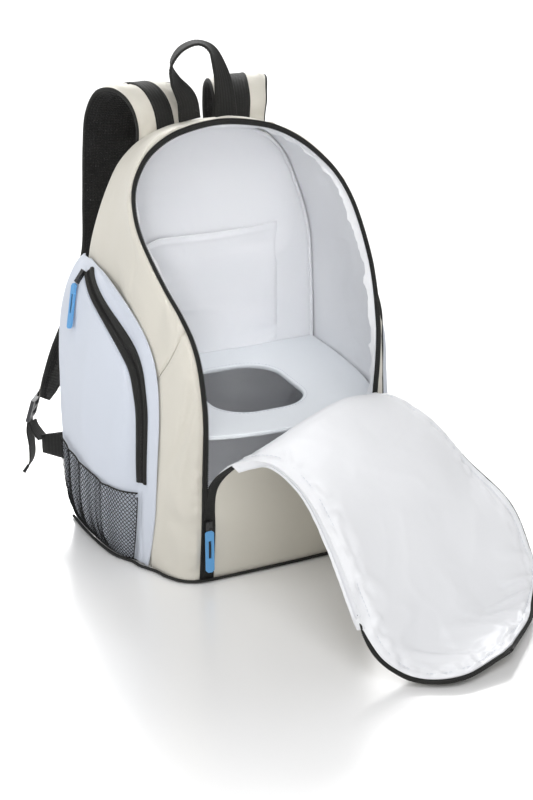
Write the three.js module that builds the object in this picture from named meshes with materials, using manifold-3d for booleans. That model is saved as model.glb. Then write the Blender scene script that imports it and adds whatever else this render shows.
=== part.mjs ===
// Cooler backpack standing on its base, front flap unzipped and folded down to the floor.
// Millimetres. +Z up, the opening faces -Y, the wearer's back is at +Y, left is -X.
// The origin is the middle of the underside of the base.
import * as THREE from "three";
import { mergeVertices } from "three/addons/utils/BufferGeometryUtils.js";
import Module from "manifold-3d";

const wasm = await Module();
wasm.setup();

// Body sizes
const bagHeight = 432;
const bagDepth = 215;
const backWidth = 274;
const mouthWidth = 236;
const panelWall = 3;
const liningWall = 1.2;
const liningFoot = 5;
const clearance = 0.3;
const tapeGap = 0.9;
const seamCut = 0.4;
const zipTapeWidth = 8;
const pipingRadius = 1.5;
const pipingLift = 0.8;

// Base corners and the rounding of the gusset
const baseCorner = 48;
const crownCorner = 11;
const sideSwell = 4;

// Shelf inside
const shelfTop = 165;
const shelfThickness = 5;
const shelfHoleWidth = 102;
const shelfHoleDepth = 124;
const shelfHoleCorner = 38;
const shelfHoleX = -3;
const shelfHoleY = -11;
const shelfFrontSwell = 17;

// Flap
const flapWall = 3.4;
const flapTapeWidth = 8;

// Pocket on the lining of the back wall
const liningPocketWidth = 172;
const liningPocketTop = 306;

// Side pockets
const pocketStand = 33;
const pocketWall = 2;
const pocketGap = 1.6;
const pocketZipWidth = 9.5;
const meshWall = 1.2;
const meshGap = 0.8;
const meshSlack = 2.2;
const pocketFloorWall = 2;

// Shoulder straps
const strapRootWidth = 58;
const strapWidth = 68;
const strapThickness = 9;
const strapEdgeThickness = 4;
const strapX = 70;
const strapStandOff = 73;
const strapCrest = 456;
const webbingWidth = 20;
const webbingThickness = 1.5;

// Lower strap hardware
const buckleWidth = 28;
const buckleHeight = 27;
const buckleThickness = 4;
const buckleBar = 3.5;
const buckleOut = 12.1;
const buckleAft = 3.9;
const buckleDrop = 9.5;
const anchorWebbingWidth = 22;
const tabHeight = 46;
const tabThickness = 3;
const tabFoot = 48;

// Grab handle
const handleWidth = 25;
const handleThickness = 2;
const handleFootSpread = 46;
const handleTop = 507;

// Zip sliders and pull tags
const sliderLength = 10;
const pocketSliderLength = 15;
const sliderWidth = 7;
const sliderHeight = 3.5;
const tagWidth = 9;
const tagLength = 47;
const tagThickness = 2;
const tagSlotWidth = 3;
const tagSlotLength = 20;
const sliderUp = 0.16;
const sliderAside = 0.64;
const sliderStand = 2.7;
const pocketSliderFore = -0.67;
const pocketSliderUp = 0.656;
const pocketSliderStand = 1.97;

// Shared places that follow from the sizes
const backY = bagDepth / 2;
const halfDepth = bagDepth / 2;
const halfMouth = mouthWidth / 2;
const halfBack = backWidth / 2;
const skinDepth = panelWall + clearance + liningWall;
const X = new THREE.Vector3(1, 0, 0);
const Y = new THREE.Vector3(0, 1, 0);
const Z = new THREE.Vector3(0, 0, 1);

// Zip line from the left foot to the crown: up is a share of the height, out of half the
// mouth width, fore of half the depth (positive towards the front).
const zipRows = [
  { up: 0, out: 0.763, fore: 0.949 },
  { up: 0.139, out: 0.771, fore: 1.023 },
  { up: 0.278, out: 0.78, fore: 1.07 },
  { up: 0.424, out: 0.78, fore: 1.098 },
  { up: 0.491, out: 0.797, fore: 1.098 },
  { up: 0.565, out: 0.822, fore: 1.06 },
  { up: 0.613, out: 0.847, fore: 0.977 },
  { up: 0.66, out: 0.89, fore: 0.837 },
  { up: 0.713, out: 0.949, fore: 0.614 },
  { up: 0.799, out: 1.0, fore: 0.223 },
  { up: 0.845, out: 0.985, fore: 0.028 },
  { up: 0.882, out: 0.935, fore: -0.13 },
  { up: 0.912, out: 0.853, fore: -0.251 },
  { up: 0.947, out: 0.712, fore: -0.37 },
  { up: 0.978, out: 0.5, fore: -0.44 },
  { up: 0.993, out: 0.27, fore: -0.485 },
  { up: 1.0, out: 0, fore: -0.502 },
];

// Back outline from the left foot to the crown: out is a share of half the back width,
// aft of half the depth.
const backRows = [
  { up: 0, out: 1.0, aft: 1.0 },
  { up: 0.2, out: 1.01, aft: 1.0 },
  { up: 0.4, out: 1.005, aft: 1.0 },
  { up: 0.55, out: 0.99, aft: 1.0 },
  { up: 0.685, out: 0.955, aft: 1.0 },
  { up: 0.764, out: 0.89, aft: 0.995 },
  { up: 0.85, out: 0.785, aft: 0.985 },
  { up: 0.907, out: 0.685, aft: 0.97 },
  { up: 0.952, out: 0.53, aft: 0.945 },
  { up: 0.98, out: 0.33, aft: 0.915 },
  { up: 0.992, out: 0.14, aft: 0.9 },
  { up: 0.994, out: 0, aft: 0.895 },
];

// The flap's two long edges by their length from the foot; all are shares of the bag's
// height. x is to the right, f forward, z up, then how far the middle stands up and forward.
const flapRows = [
  { along: 0.0, lx: -0.2075, lf: 0.236, lz: 0.0, rx: 0.2075, rf: 0.236, rz: 0.0, rise: 0, swell: 0.006 },
  { along: 0.139, lx: -0.2095, lf: 0.2545, lz: 0.1385, rx: 0.2095, rf: 0.2545, rz: 0.1385, rise: 0, swell: 0.012 },
  { along: 0.25, lx: -0.2095, lf: 0.268, lz: 0.25, rx: 0.2105, rf: 0.2665, rz: 0.25, rise: 0, swell: 0.018 },
  { along: 0.324, lx: -0.181, lf: 0.306, lz: 0.31, rx: 0.2105, rf: 0.272, rz: 0.323, rise: 0.026, swell: 0.026 },
  { along: 0.394, lx: -0.139, lf: 0.366, lz: 0.347, rx: 0.2085, rf: 0.279, rz: 0.391, rise: 0.045, swell: 0.024 },
  { along: 0.451, lx: -0.104, lf: 0.4, lz: 0.347, rx: 0.241, rf: 0.292, rz: 0.41, rise: 0.05, swell: 0.02 },
  { along: 0.544, lx: -0.067, lf: 0.472, lz: 0.301, rx: 0.319, rf: 0.343, rz: 0.361, rise: 0.03, swell: 0.03 },
  { along: 0.671, lx: -0.056, lf: 0.579, lz: 0.22, rx: 0.398, rf: 0.398, rz: 0.259, rise: 0.01, swell: 0.01 },
  { along: 0.787, lx: -0.056, lf: 0.671, lz: 0.141, rx: 0.456, rf: 0.498, rz: 0.181, rise: 0, swell: 0 },
  { along: 0.891, lx: -0.053, lf: 0.75, lz: 0.069, rx: 0.472, rf: 0.567, rz: 0.086, rise: 0, swell: 0 },
  { along: 0.981, lx: -0.019, lf: 0.792, lz: 0.026, rx: 0.465, rf: 0.606, rz: 0.039, rise: 0, swell: 0 },
  { along: 1.069, lx: 0.035, lf: 0.838, lz: 0.009, rx: 0.417, rf: 0.671, rz: 0.019, rise: 0, swell: 0 },
  { along: 1.123, lx: 0.12, lf: 0.866, lz: 0.014, rx: 0.361, rf: 0.745, rz: 0.023, rise: 0, swell: 0 },
  { along: 1.158, lx: 0.245, lf: 0.843, lz: 0.032, rx: 0.245, rf: 0.843, rz: 0.032, rise: 0, swell: 0 },
];

// Front edge of a side pocket up the side: along is a share of the half arch, front is the
// place across the gusset, stand the share of the pocket's full depth.
const pocketRows = [
  { along: 0.006, front: 0.455, stand: 0.68 },
  { along: 0.06, front: 0.425, stand: 0.9 },
  { along: 0.14, front: 0.4, stand: 1.0 },
  { along: 0.35, front: 0.395, stand: 1.0 },
  { along: 0.42, front: 0.41, stand: 0.97 },
  { along: 0.48, front: 0.465, stand: 0.87 },
  { along: 0.52, front: 0.54, stand: 0.7 },
  { along: 0.555, front: 0.65, stand: 0.46 },
  { along: 0.578, front: 0.79, stand: 0.22 },
  { along: 0.586, front: 0.92, stand: 0.05 },
];

// How far a side pocket stands out across its width, front seam to back seam.
const pocketProfile = [
  { across: 0, rise: 0.0 },
  { across: 0.08, rise: 0.06 },
  { across: 0.16, rise: 0.14 },
  { across: 0.24, rise: 0.42 },
  { across: 0.32, rise: 0.58 },
  { across: 0.5, rise: 0.78 },
  { across: 0.7, rise: 0.93 },
  { across: 0.86, rise: 1.0 },
  { across: 0.94, rise: 0.96 },
  { across: 0.98, rise: 0.6 },
  { across: 1.0, rise: 0.03 },
];

// Front edge of the side pocket's zip, seen from the side: fore is a share of half the depth
// (negative towards the back), up of the height.
const pocketZipRows = [
  { fore: -0.86, up: 0.697 },
  { fore: -0.7, up: 0.687 },
  { fore: -0.36, up: 0.654 },
  { fore: 0.03, up: 0.612 },
  { fore: 0.3, up: 0.566 },
  { fore: 0.46, up: 0.515 },
  { fore: 0.53, up: 0.44 },
  { fore: 0.55, up: 0.35 },
  { fore: 0.55, up: 0.227 },
];

// Upper edge of the mesh pocket: across the side pocket, and its height.
const meshTopRows = [
  { across: 0.2, up: 0.168 },
  { across: 0.4, up: 0.172 },
  { across: 0.6, up: 0.187 },
  { across: 0.8, up: 0.205 },
  { across: 0.96, up: 0.222 },
];

// Left shoulder strap from its root at the top of the back to its lower end: out is a share
// of strapX, aft of strapStandOff behind the back, up of strapCrest, broad of strapWidth,
// and turn swings the strap's width about the vertical, in degrees.
const strapRows = [
  { out: 0.614, aft: 0.01, up: 0.877, broad: 0.85, turn: 0 },
  { out: 0.614, aft: -0.03, up: 0.932, broad: 0.85, turn: 0 },
  { out: 0.65, aft: 0.02, up: 0.968, broad: 0.86, turn: 0 },
  { out: 0.714, aft: 0.212, up: 0.995, broad: 0.88, turn: 0 },
  { out: 0.8, aft: 0.473, up: 1.002, broad: 0.94, turn: 0 },
  { out: 0.9, aft: 0.788, up: 0.982, broad: 0.98, turn: 0 },
  { out: 0.971, aft: 0.993, up: 0.932, broad: 1.0, turn: 0 },
  { out: 1.014, aft: 1.048, up: 0.855, broad: 1.0, turn: 0 },
  { out: 1.086, aft: 1.02, up: 0.724, broad: 1.0, turn: -4 },
  { out: 1.21, aft: 0.94, up: 0.592, broad: 1.0, turn: -12 },
  { out: 1.62, aft: 0.8, up: 0.478, broad: 0.94, turn: -24 },
  { out: 2.12, aft: 0.66, up: 0.375, broad: 0.8, turn: -36 },
  { out: 2.53, aft: 0.53, up: 0.27, broad: 0.5, turn: -44 },
];

// Left lower webbing from the buckle to the tab, and the free tail, both from the buckle's
// middle: out to the side, aft and down.
const anchorRows = [
  { out: 2.1, aft: 0.8, down: 16 },
  { out: 0.7, aft: -2.3, down: 23 },
  { out: -2, aft: -8.1, down: 29.2 },
];
const tailRows = [
  { out: 4.2, aft: 2.3, down: 15.4 },
  { out: 5.3, aft: 2.9, down: 25.6 },
  { out: 3.8, aft: 2.9, down: 45.6 },
  { out: 5.8, aft: 0.9, down: 62.6 },
  { out: 16.8, aft: -3.1, down: 75.6 },
];

// Grab handle: places across, behind the middle and up, and how far its width is turned.
const handleRows = [
  { across: -0.4, aft: 0.865, up: 0.9985, turn: 0 },
  { across: -0.46, aft: 0.865, up: 1.04, turn: 10 },
  { across: -0.74, aft: 0.865, up: 1.09, turn: 45 },
  { across: -0.82, aft: 0.865, up: 1.125, turn: 68 },
  { across: -0.6, aft: 0.865, up: 1.16, turn: 76 },
  { across: -0.2, aft: 0.865, up: 1.174, turn: 72 },
  { across: 0.14, aft: 0.865, up: 1.156, turn: 52 },
  { across: 0.36, aft: 0.865, up: 1.105, turn: 30 },
  { across: 0.46, aft: 0.865, up: 1.05, turn: 10 },
  { across: 0.5, aft: 0.865, up: 0.9985, turn: 0 },
];

const finish = (color, roughness, metalness = 0) =>
  new THREE.MeshStandardMaterial({ color, roughness, metalness });
const creamNylon = finish(0xe3e0d8, 0.75);
const paleBlueNylon = finish(0xd4dae4, 0.7);
const whiteLining = finish(0xeef0f4, 0.45);
const blackWebbing = finish(0x2a2a26, 0.85);
const blackTape = finish(0x262622, 0.8);
const blackMesh = finish(0x222222, 0.8);
const greyPlastic = finish(0x3a3b3d, 0.45);
const blueRubber = finish(0x6eafe1, 0.5);

const root = new THREE.Group();

// A column of a table at a place along it, on a smooth curve through the rows.
function column(rows, key, name, place) {
  const last = rows.length - 1;
  let i = 0;
  while (i < last - 1 && place > rows[i + 1][key]) i += 1;
  const slope = (k) => {
    const a = rows[Math.max(k - 1, 0)];
    const b = rows[Math.min(k + 1, last)];
    return (b[name] - a[name]) / (b[key] - a[key]);
  };
  const from = rows[i];
  const to = rows[i + 1];
  const span = to[key] - from[key];
  const t = Math.min(Math.max((place - from[key]) / span, 0), 1);
  const t2 = t * t;
  const t3 = t2 * t;
  return (
    (2 * t3 - 3 * t2 + 1) * from[name] +
    (t3 - 2 * t2 + t) * span * slope(i) +
    (3 * t2 - 2 * t3) * to[name] +
    (t3 - t2) * span * slope(i + 1)
  );
}

// The whole arch as one curve: the left half's rows, then the same mirrored.
function arch(rows, place) {
  const left = rows.map(place);
  const right = left
    .slice(0, -1)
    .reverse()
    .map((p) => new THREE.Vector3(-p.x, p.y, p.z));
  const curve = new THREE.CatmullRomCurve3([...left, ...right], false, "centripetal");
  curve.arcLengthDivisions = 800;
  return curve;
}
const zipLine = arch(
  zipRows,
  (r) => new THREE.Vector3(-r.out * halfMouth, -r.fore * halfDepth, r.up * bagHeight),
);
const backLine = arch(
  backRows,
  (r) => new THREE.Vector3(-r.out * halfBack, r.aft * halfDepth, r.up * bagHeight),
);

// The gusset's outer face: u runs along the arch, t from the zip line to the back.
function gusset(u, t) {
  const front = zipLine.getPointAt(u);
  const back = backLine.getPointAt(u);
  const tangent = zipLine.getTangentAt(u);
  const side = Math.min(u, 1 - u) * 2;
  const poleHeight = Math.min(front.z, bagHeight * 0.69);
  const poleY = THREE.MathUtils.lerp(front.y, -0.2 * halfDepth, Math.max(side - 0.5, 0) * 2);
  const outward = front.clone().sub(new THREE.Vector3(0, poleY, poleHeight));
  outward.addScaledVector(tangent, -outward.dot(tangent)).normalize();
  const span = front.distanceTo(back);
  const corner = THREE.MathUtils.lerp(baseCorner, crownCorner, smooth(side * 1.5));
  const a = front
    .clone()
    .addScaledVector(outward, corner)
    .addScaledVector(Y, 0.1 * span * smooth(side * 1.5));
  const swell = back.clone().sub(new THREE.Vector3(0, back.y, bagHeight * 0.6));
  swell.z = Math.max(swell.z, 0);
  swell.normalize();
  const b = back.clone().addScaledVector(Y, -0.55 * span).addScaledVector(swell, sideSwell);
  return new THREE.CubicBezierCurve3(front, a, b, back).getPoint(t);
}

function smooth(v) {
  return THREE.MathUtils.smoothstep(v, 0, 1);
}

// The outward normal of a surface given as a function of two places.
function normalAt(surface, a, b) {
  const step = 1e-3;
  const a0 = Math.max(a - step, 0);
  const a1 = Math.min(a + step, 1);
  const b0 = Math.max(b - step, 0);
  const b1 = Math.min(b + step, 1);
  const along = surface(a1, b).sub(surface(a0, b));
  const across = surface(a, b1).sub(surface(a, b0));
  return along.cross(across).normalize();
}

// A closed geometry from loops of points of equal count, capped at both ends.
function skin(loops) {
  const count = loops[0].length;
  const positions = [];
  for (const loop of loops) {
    for (const p of loop) positions.push(p.x, p.y, p.z);
  }
  const faces = [];
  for (let i = 0; i < loops.length - 1; i += 1) {
    for (let j = 0; j < count; j += 1) {
      const k = (j + 1) % count;
      const a = i * count + j;
      const b = i * count + k;
      const c = (i + 1) * count + k;
      const d = (i + 1) * count + j;
      faces.push(a, b, c, a, c, d);
    }
  }
  const last = (loops.length - 1) * count;
  for (let j = 1; j < count - 1; j += 1) {
    faces.push(0, j + 1, j);
    faces.push(last, last + j, last + j + 1);
  }
  return facingOut(positions, faces);
}

function facingOut(positions, faces) {
  const p = (i) => new THREE.Vector3(...positions.slice(3 * i, 3 * i + 3));
  let volume = 0;
  for (let i = 0; i < faces.length; i += 3) {
    volume += p(faces[i]).dot(p(faces[i + 1]).cross(p(faces[i + 2])));
  }
  if (volume < 0) {
    for (let i = 0; i < faces.length; i += 3) {
      [faces[i + 1], faces[i + 2]] = [faces[i + 2], faces[i + 1]];
    }
  }
  const geometry = new THREE.BufferGeometry();
  geometry.setAttribute("position", new THREE.Float32BufferAttribute(positions, 3));
  geometry.setIndex(faces);
  geometry.computeVertexNormals();
  return geometry;
}

// A closed slab between two grids of points that face each other.
function slab(outer, inner) {
  const rows = outer.length;
  const columns = outer[0].length;
  const positions = [...outer.flat(), ...inner.flat()].flatMap((p) => [p.x, p.y, p.z]);
  const top = (i, j) => i * columns + j;
  const under = (i, j) => rows * columns + i * columns + j;
  const faces = [];
  const quad = (a, b, c, d) => faces.push(a, b, c, a, c, d);
  for (let i = 0; i < rows - 1; i += 1) {
    for (let j = 0; j < columns - 1; j += 1) {
      quad(top(i, j), top(i, j + 1), top(i + 1, j + 1), top(i + 1, j));
      quad(under(i + 1, j + 1), under(i, j + 1), under(i, j), under(i + 1, j));
    }
  }
  const end = columns - 1;
  const last = rows - 1;
  for (let i = 0; i < last; i += 1) {
    quad(top(i, 0), top(i + 1, 0), under(i + 1, 0), under(i, 0));
    quad(top(i + 1, end), top(i, end), under(i, end), under(i + 1, end));
  }
  for (let j = 0; j < end; j += 1) {
    quad(top(0, j + 1), top(0, j), under(0, j), under(0, j + 1));
    quad(top(last, j), top(last, j + 1), under(last, j + 1), under(last, j));
  }
  return facingOut(positions, faces);
}

// A sheet of cloth: a patch of a surface between two depths below its outer face. The
// columns are even shares of the patch unless the span lists its own.
function sheet(surface, steps, span, depth, wall) {
  const [n, m] = steps;
  const read = (side, a) => (typeof side === "function" ? side(a) : side);
  const outer = [];
  const inner = [];
  for (let i = 0; i <= n; i += 1) {
    const a = THREE.MathUtils.lerp(span.a0, span.a1, i / n);
    const columns = [...Array(m + 1)].map((_, j) =>
      THREE.MathUtils.lerp(read(span.b0, a), read(span.b1, a), j / m),
    );
    if (span.edge) columns.unshift(read(span.edge, a));
    const face = (down) =>
      columns.map((b) => {
        const p = surface(a, b).addScaledVector(normalAt(surface, a, b), -down);
        return p.setZ(Math.max(p.z, span.foot ?? 0));
      });
    outer.push(face(depth));
    inner.push(face(depth + wall));
  }
  return slab(outer, inner);
}

// A sweep: sections of the width and thickness at each place, carried along a path.
function sweep(path, steps, section, sideAt, sizeAt, first = 0) {
  const loops = [];
  for (let i = first; i <= steps; i += 1) {
    const u = i / steps;
    const at = path.getPointAt(u);
    const tangent = path.getTangentAt(u);
    const side = sideAt(u).clone();
    side.addScaledVector(tangent, -side.dot(tangent)).normalize();
    const up = new THREE.Vector3().crossVectors(side, tangent).normalize();
    loops.push(
      section(sizeAt(u)).map(([a, b]) =>
        at.clone().addScaledVector(side, a).addScaledVector(up, b),
      ),
    );
  }
  return skin(loops);
}

function flatSection({ width, thickness, lift = 0 }) {
  return [
    [width / 2, lift - thickness / 2],
    [-width / 2, lift - thickness / 2],
    [-width / 2, lift + thickness / 2],
    [width / 2, lift + thickness / 2],
  ];
}
function paddedSection({ width, thickness }) {
  const edge = strapEdgeThickness / 2;
  const half = thickness / 2;
  const under = webbingWidth / 2;
  const shoulder = width * 0.36;
  const outer = width / 2;
  return [
    [-outer, -edge],
    [-shoulder, -half],
    [-under, -half],
    [under, -half],
    [shoulder, -half],
    [outer, -edge],
    [outer, edge],
    [shoulder, half],
    [under, half],
    [-under, half],
    [-shoulder, half],
    [-outer, edge],
  ];
}
function roundSection({ radius }) {
  return [...Array(6)].map((_, i) => [
    radius * Math.cos((i * Math.PI) / 3),
    radius * Math.sin((i * Math.PI) / 3),
  ]);
}

// Solids for cutting one sheet into its panels.
function solid(geometry) {
  const merged = mergeVertices(geometry.clone().deleteAttribute("normal"), 1e-3);
  return new wasm.Manifold(
    new wasm.Mesh({
      numProp: 3,
      vertProperties: Float32Array.from(merged.getAttribute("position").array),
      triVerts: Uint32Array.from(merged.getIndex().array),
    }),
  );
}
function geometryOf(cut) {
  const mesh = cut.getMesh();
  return facingOut([...mesh.vertProperties], [...mesh.triVerts]);
}

// The bodies left of a sheet after the knives, largest first; crumbs are dropped.
function cutApart(geometry, knives) {
  const cut = knives.reduce((whole, knife) => whole.subtract(solid(knife)), solid(geometry));
  return cut
    .decompose()
    .filter((body) => body.volume() > 20)
    .sort((a, b) => b.volume() - a.volume());
}
const middleX = (body) => (body.boundingBox().min[0] + body.boundingBox().max[0]) / 2;

function add(name, geometry, material) {
  const mesh = new THREE.Mesh(geometry, material);
  mesh.name = name;
  root.add(mesh);
  return mesh;
}

// A copy on the other side of the bag's middle plane.
function mirrored(geometry) {
  const p = geometry.getAttribute("position");
  const positions = [];
  for (let i = 0; i < p.count; i += 1) positions.push(-p.getX(i), p.getY(i), p.getZ(i));
  return facingOut(positions, [...geometry.getIndex().array]);
}
function addPair(name, geometry, material) {
  add(`${name}_left`, geometry, material);
  add(`${name}_right`, mirrored(geometry), material);
}

// Body: one shell cut along the seams that run from the zip down to the side pockets.
const gussetLength = (u) => zipLine.getPointAt(u).distanceTo(backLine.getPointAt(u)) * 1.08;
const tapeShare = (u) => zipTapeWidth / gussetLength(u);
const panelStart = (u) => (zipTapeWidth + tapeGap) / gussetLength(u);
const archSteps = 42;
const acrossSteps = 6;
const seamFront = 0.272;
const seamBack = 0.155;
function seamKnife(side) {
  const cut = seamCut / zipLine.getLength() / 2;
  const wall = (shift) =>
    [...Array(13)].map((_, i) => {
      const t = -0.02 + (1.04 * i) / 12;
      const seam = THREE.MathUtils.lerp(seamFront, seamBack, smooth(t * 1.6));
      const u = side < 0 ? seam : 1 - seam;
      const n = normalAt(gusset, u, THREE.MathUtils.clamp(t, 0, 1));
      const p = gusset(u + shift * cut, t);
      return [p.clone().addScaledVector(n, 6), p.clone().addScaledVector(n, -9)];
    });
  return slab(wall(-1), wall(1));
}
const shell = sheet(
  gusset,
  [archSteps, acrossSteps],
  { a0: 0, a1: 1, b0: panelStart, b1: 1 },
  0,
  panelWall,
);
const [archBody, ...sideBodies] = cutApart(shell, [seamKnife(-1), seamKnife(1)]);
sideBodies.sort((a, b) => middleX(a) - middleX(b));
add("gusset_arch", geometryOf(archBody), creamNylon);
add("side_panel_left", geometryOf(sideBodies[0]), creamNylon);
add("side_panel_right", geometryOf(sideBodies[1]), creamNylon);
add(
  "zip_tape_body",
  sheet(gusset, [archSteps, 1], { a0: 0, a1: 1, b0: 0, b1: tapeShare }, 0, panelWall),
  blackTape,
);
add(
  "lining_gusset",
  sheet(
    gusset,
    [archSteps, acrossSteps],
    { a0: 0, a1: 1, edge: 0.004, b0: panelStart, b1: 1, foot: liningFoot },
    panelWall + clearance,
    liningWall,
  ),
  whiteLining,
);

// Flat panels span the bag between a half outline and its mirror image.
function spanned(half, steps, depth, wall) {
  const surface = (a, b) => {
    const p = half(a);
    return new THREE.Vector3(THREE.MathUtils.lerp(p.x, -p.x, b), p.y, p.z);
  };
  return sheet(surface, steps, { a0: 0, a1: 1, b0: 0, b1: 1 }, depth, wall);
}

// The back outline drawn in by a margin, from the foot to the crown.
function backInset(margin) {
  return (a) => {
    const u = THREE.MathUtils.lerp(0, 0.494, a);
    const p = backLine.getPointAt(u);
    const tangent = backLine.getTangentAt(u);
    const inward = new THREE.Vector3(tangent.z, 0, -tangent.x).normalize();
    const q = p.addScaledVector(inward, margin);
    q.x = Math.min(q.x, -1);
    return q;
  };
}
add(
  "back_panel",
  spanned(backInset(skinDepth + 3 * clearance), [24, 1], 0, panelWall),
  creamNylon,
);
const liningBackDepth = panelWall + clearance;
add(
  "lining_back",
  spanned(backInset(skinDepth + 3 * clearance), [24, 1], liningBackDepth, liningWall),
  whiteLining,
);

// Base: the gusset's foot drawn in by the walls.
function baseInset(a) {
  const p = gusset(0, a);
  const inset = skinDepth + 4 * clearance;
  p.addScaledVector(normalAt(gusset, 0, a), -inset);
  p.y = Math.min(p.y, backY - liningBackDepth - liningWall - clearance);
  p.z = 0;
  return p;
}
const basePlate = (lift, wall) => {
  const half = (a) => {
    const p = baseInset(a);
    p.z = lift;
    return p;
  };
  return spanned(half, [14, 1], 0, wall);
};
add("base_panel", basePlate(0, panelWall), creamNylon);
add("lining_base", basePlate(panelWall + clearance, liningWall), whiteLining);

// Shelf: the lining's inside at the shelf's height, with a swelled front and one hole.
function insideAt(height, t, margin) {
  let low = 0;
  let high = 0.5;
  for (let i = 0; i < 24; i += 1) {
    const middle = (low + high) / 2;
    if (gusset(middle, t).z < height) low = middle;
    else high = middle;
  }
  return gusset(low, t).addScaledVector(normalAt(gusset, low, t), -margin);
}
function shelfShape() {
  const margin = skinDepth + clearance * 4;
  const rear = backY - liningBackDepth - liningWall - clearance * 2;
  const left = [];
  for (let i = 2; i <= 16; i += 1) {
    const p = insideAt(shelfTop - shelfThickness / 2, i / 16, margin);
    if (p.y < rear - 2) left.push(new THREE.Vector2(p.x, p.y));
  }
  left.push(new THREE.Vector2(left[left.length - 1].x + 0.5, rear));
  const right = left.map((p) => new THREE.Vector2(-p.x, p.y)).reverse();
  const corner = left[0];
  const front = [];
  for (let i = 1; i < 10; i += 1) {
    const across = 1 - i / 5;
    front.push(
      new THREE.Vector2(-corner.x * across, corner.y - shelfFrontSwell * (1 - across * across)),
    );
  }
  const shape = new THREE.Shape([...left, ...right, ...front]);
  const hole = new THREE.Path();
  const [w, d, r] = [shelfHoleWidth / 2, shelfHoleDepth / 2, shelfHoleCorner];
  const [x, y] = [shelfHoleX, shelfHoleY];
  hole.moveTo(x - w + r, y - d);
  hole.lineTo(x + w - r, y - d);
  hole.absarc(x + w - r, y - d + r, r, -Math.PI / 2, 0, false);
  hole.absarc(x + w - r, y + d - r, r, 0, Math.PI / 2, false);
  hole.absarc(x - w + r, y + d - r, r, Math.PI / 2, Math.PI, false);
  hole.absarc(x - w + r, y - d + r, r, Math.PI, 1.5 * Math.PI, false);
  shape.holes.push(hole);
  return shape;
}
const shelf = new THREE.ExtrudeGeometry(shelfShape(), {
  depth: shelfThickness,
  bevelEnabled: false,
  curveSegments: 6,
});
shelf.translate(0, 0, shelfTop - shelfThickness);
add("divider_shelf", indexed(shelf), whiteLining);

// Flat pocket sewn on the back wall's lining, above the shelf.
const liningPocketHeight = liningPocketTop - shelfTop - clearance;
const liningPocket = new THREE.BoxGeometry(liningPocketWidth, liningWall, liningPocketHeight);
add("lining_pocket", liningPocket, whiteLining).position.set(
  0,
  backY - liningBackDepth - liningWall - clearance - liningWall / 2,
  shelfTop + clearance + liningPocketHeight / 2,
);

// Flap: a sheet with the mouth's own outline, laid between its two long edges.
const mouthRows = (() => {
  let along = 0;
  return zipRows.map((row, i) => {
    if (i > 0) {
      const rise = (row.up - zipRows[i - 1].up) * bagHeight;
      const run = (row.fore - zipRows[i - 1].fore) * halfDepth;
      along += Math.hypot(rise, run);
    }
    return { along, half: row.out * halfMouth };
  });
})();
const flapLength = mouthRows[mouthRows.length - 1].along;
const rimCurve = new THREE.SplineCurve([
  ...mouthRows.map((r) => new THREE.Vector2(r.along, r.half)),
  ...mouthRows
    .slice(0, -1)
    .reverse()
    .map((r) => new THREE.Vector2(r.along, -r.half)),
]);
rimCurve.arcLengthDivisions = 600;
const rimRows = [...Array(161)].map((_, i) => rimCurve.getPointAt(i / 320));
function halfAt(along) {
  let i = 0;
  while (i < rimRows.length - 2 && rimRows[i + 1].x < along) i += 1;
  const [a, b] = [rimRows[i], rimRows[i + 1]];
  const t = Math.min(Math.max((along - a.x) / Math.max(b.x - a.x, 1e-6), 0), 1);
  return Math.max(THREE.MathUtils.lerp(a.y, b.y, t), 1);
}
function flapPoint(along, across) {
  const share = along / bagHeight;
  const read = (name) => column(flapRows, "along", name, share) * bagHeight;
  const left = new THREE.Vector3(read("lx"), -read("lf"), read("lz"));
  const right = new THREE.Vector3(read("rx"), -read("rf"), read("rz"));
  const b = THREE.MathUtils.clamp(0.5 + across / (2 * halfAt(along)), 0, 1);
  const bow = 4 * b * (1 - b);
  return left
    .lerp(right, b)
    .add(new THREE.Vector3(0, -bow * read("swell"), bow * read("rise")));
}
const flapEnd = flapLength - 0.6;
const flapSurface = (a, b) => {
  const along = a * flapEnd;
  return flapPoint(along, (halfAt(along) - clearance) * (1 - 2 * b));
};
const flapSteps = [28, 6];
const flapPatch = { a0: 0, a1: 1, b0: 0, b1: 1 };
const rimSteps = 44;
function rimKnife(inset) {
  const wall = (more) =>
    [...Array(rimSteps + 1)].map((_, i) => {
      const k = i / rimSteps;
      const at = rimCurve.getPointAt(k);
      const tangent = rimCurve.getTangentAt(k);
      const inward = new THREE.Vector2(tangent.y, -tangent.x);
      if (inward.dot(new THREE.Vector2(flapLength * 0.7, 0).sub(at)) < 0) inward.negate();
      at.addScaledVector(inward, inset + more);
      const p = flapPoint(Math.max(at.x, 0), at.y);
      const a = THREE.MathUtils.clamp(at.x / flapEnd, 0, 1);
      const b = THREE.MathUtils.clamp(0.5 - at.y / (2 * halfAt(at.x)), 0, 1);
      const n = normalAt(flapSurface, a, b);
      if (i === 0 || i === rimSteps) p.z -= 4;
      return [p.clone().addScaledVector(n, 7), p.clone().addScaledVector(n, -7 - flapWall)];
    });
  return slab(wall(0), wall(seamCut));
}
const flapWhole = sheet(flapSurface, flapSteps, flapPatch, 0, flapWall);
const [flapBody, flapRim] = cutApart(flapWhole, [rimKnife(flapTapeWidth)]);
add("front_flap", geometryOf(flapBody), creamNylon);
add("zip_tape_flap", geometryOf(flapRim), blackTape);
add(
  "flap_lining",
  sheet(
    flapSurface,
    flapSteps,
    { ...flapPatch, foot: 0.6 },
    flapWall + clearance,
    liningWall,
  ),
  whiteLining,
);

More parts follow.
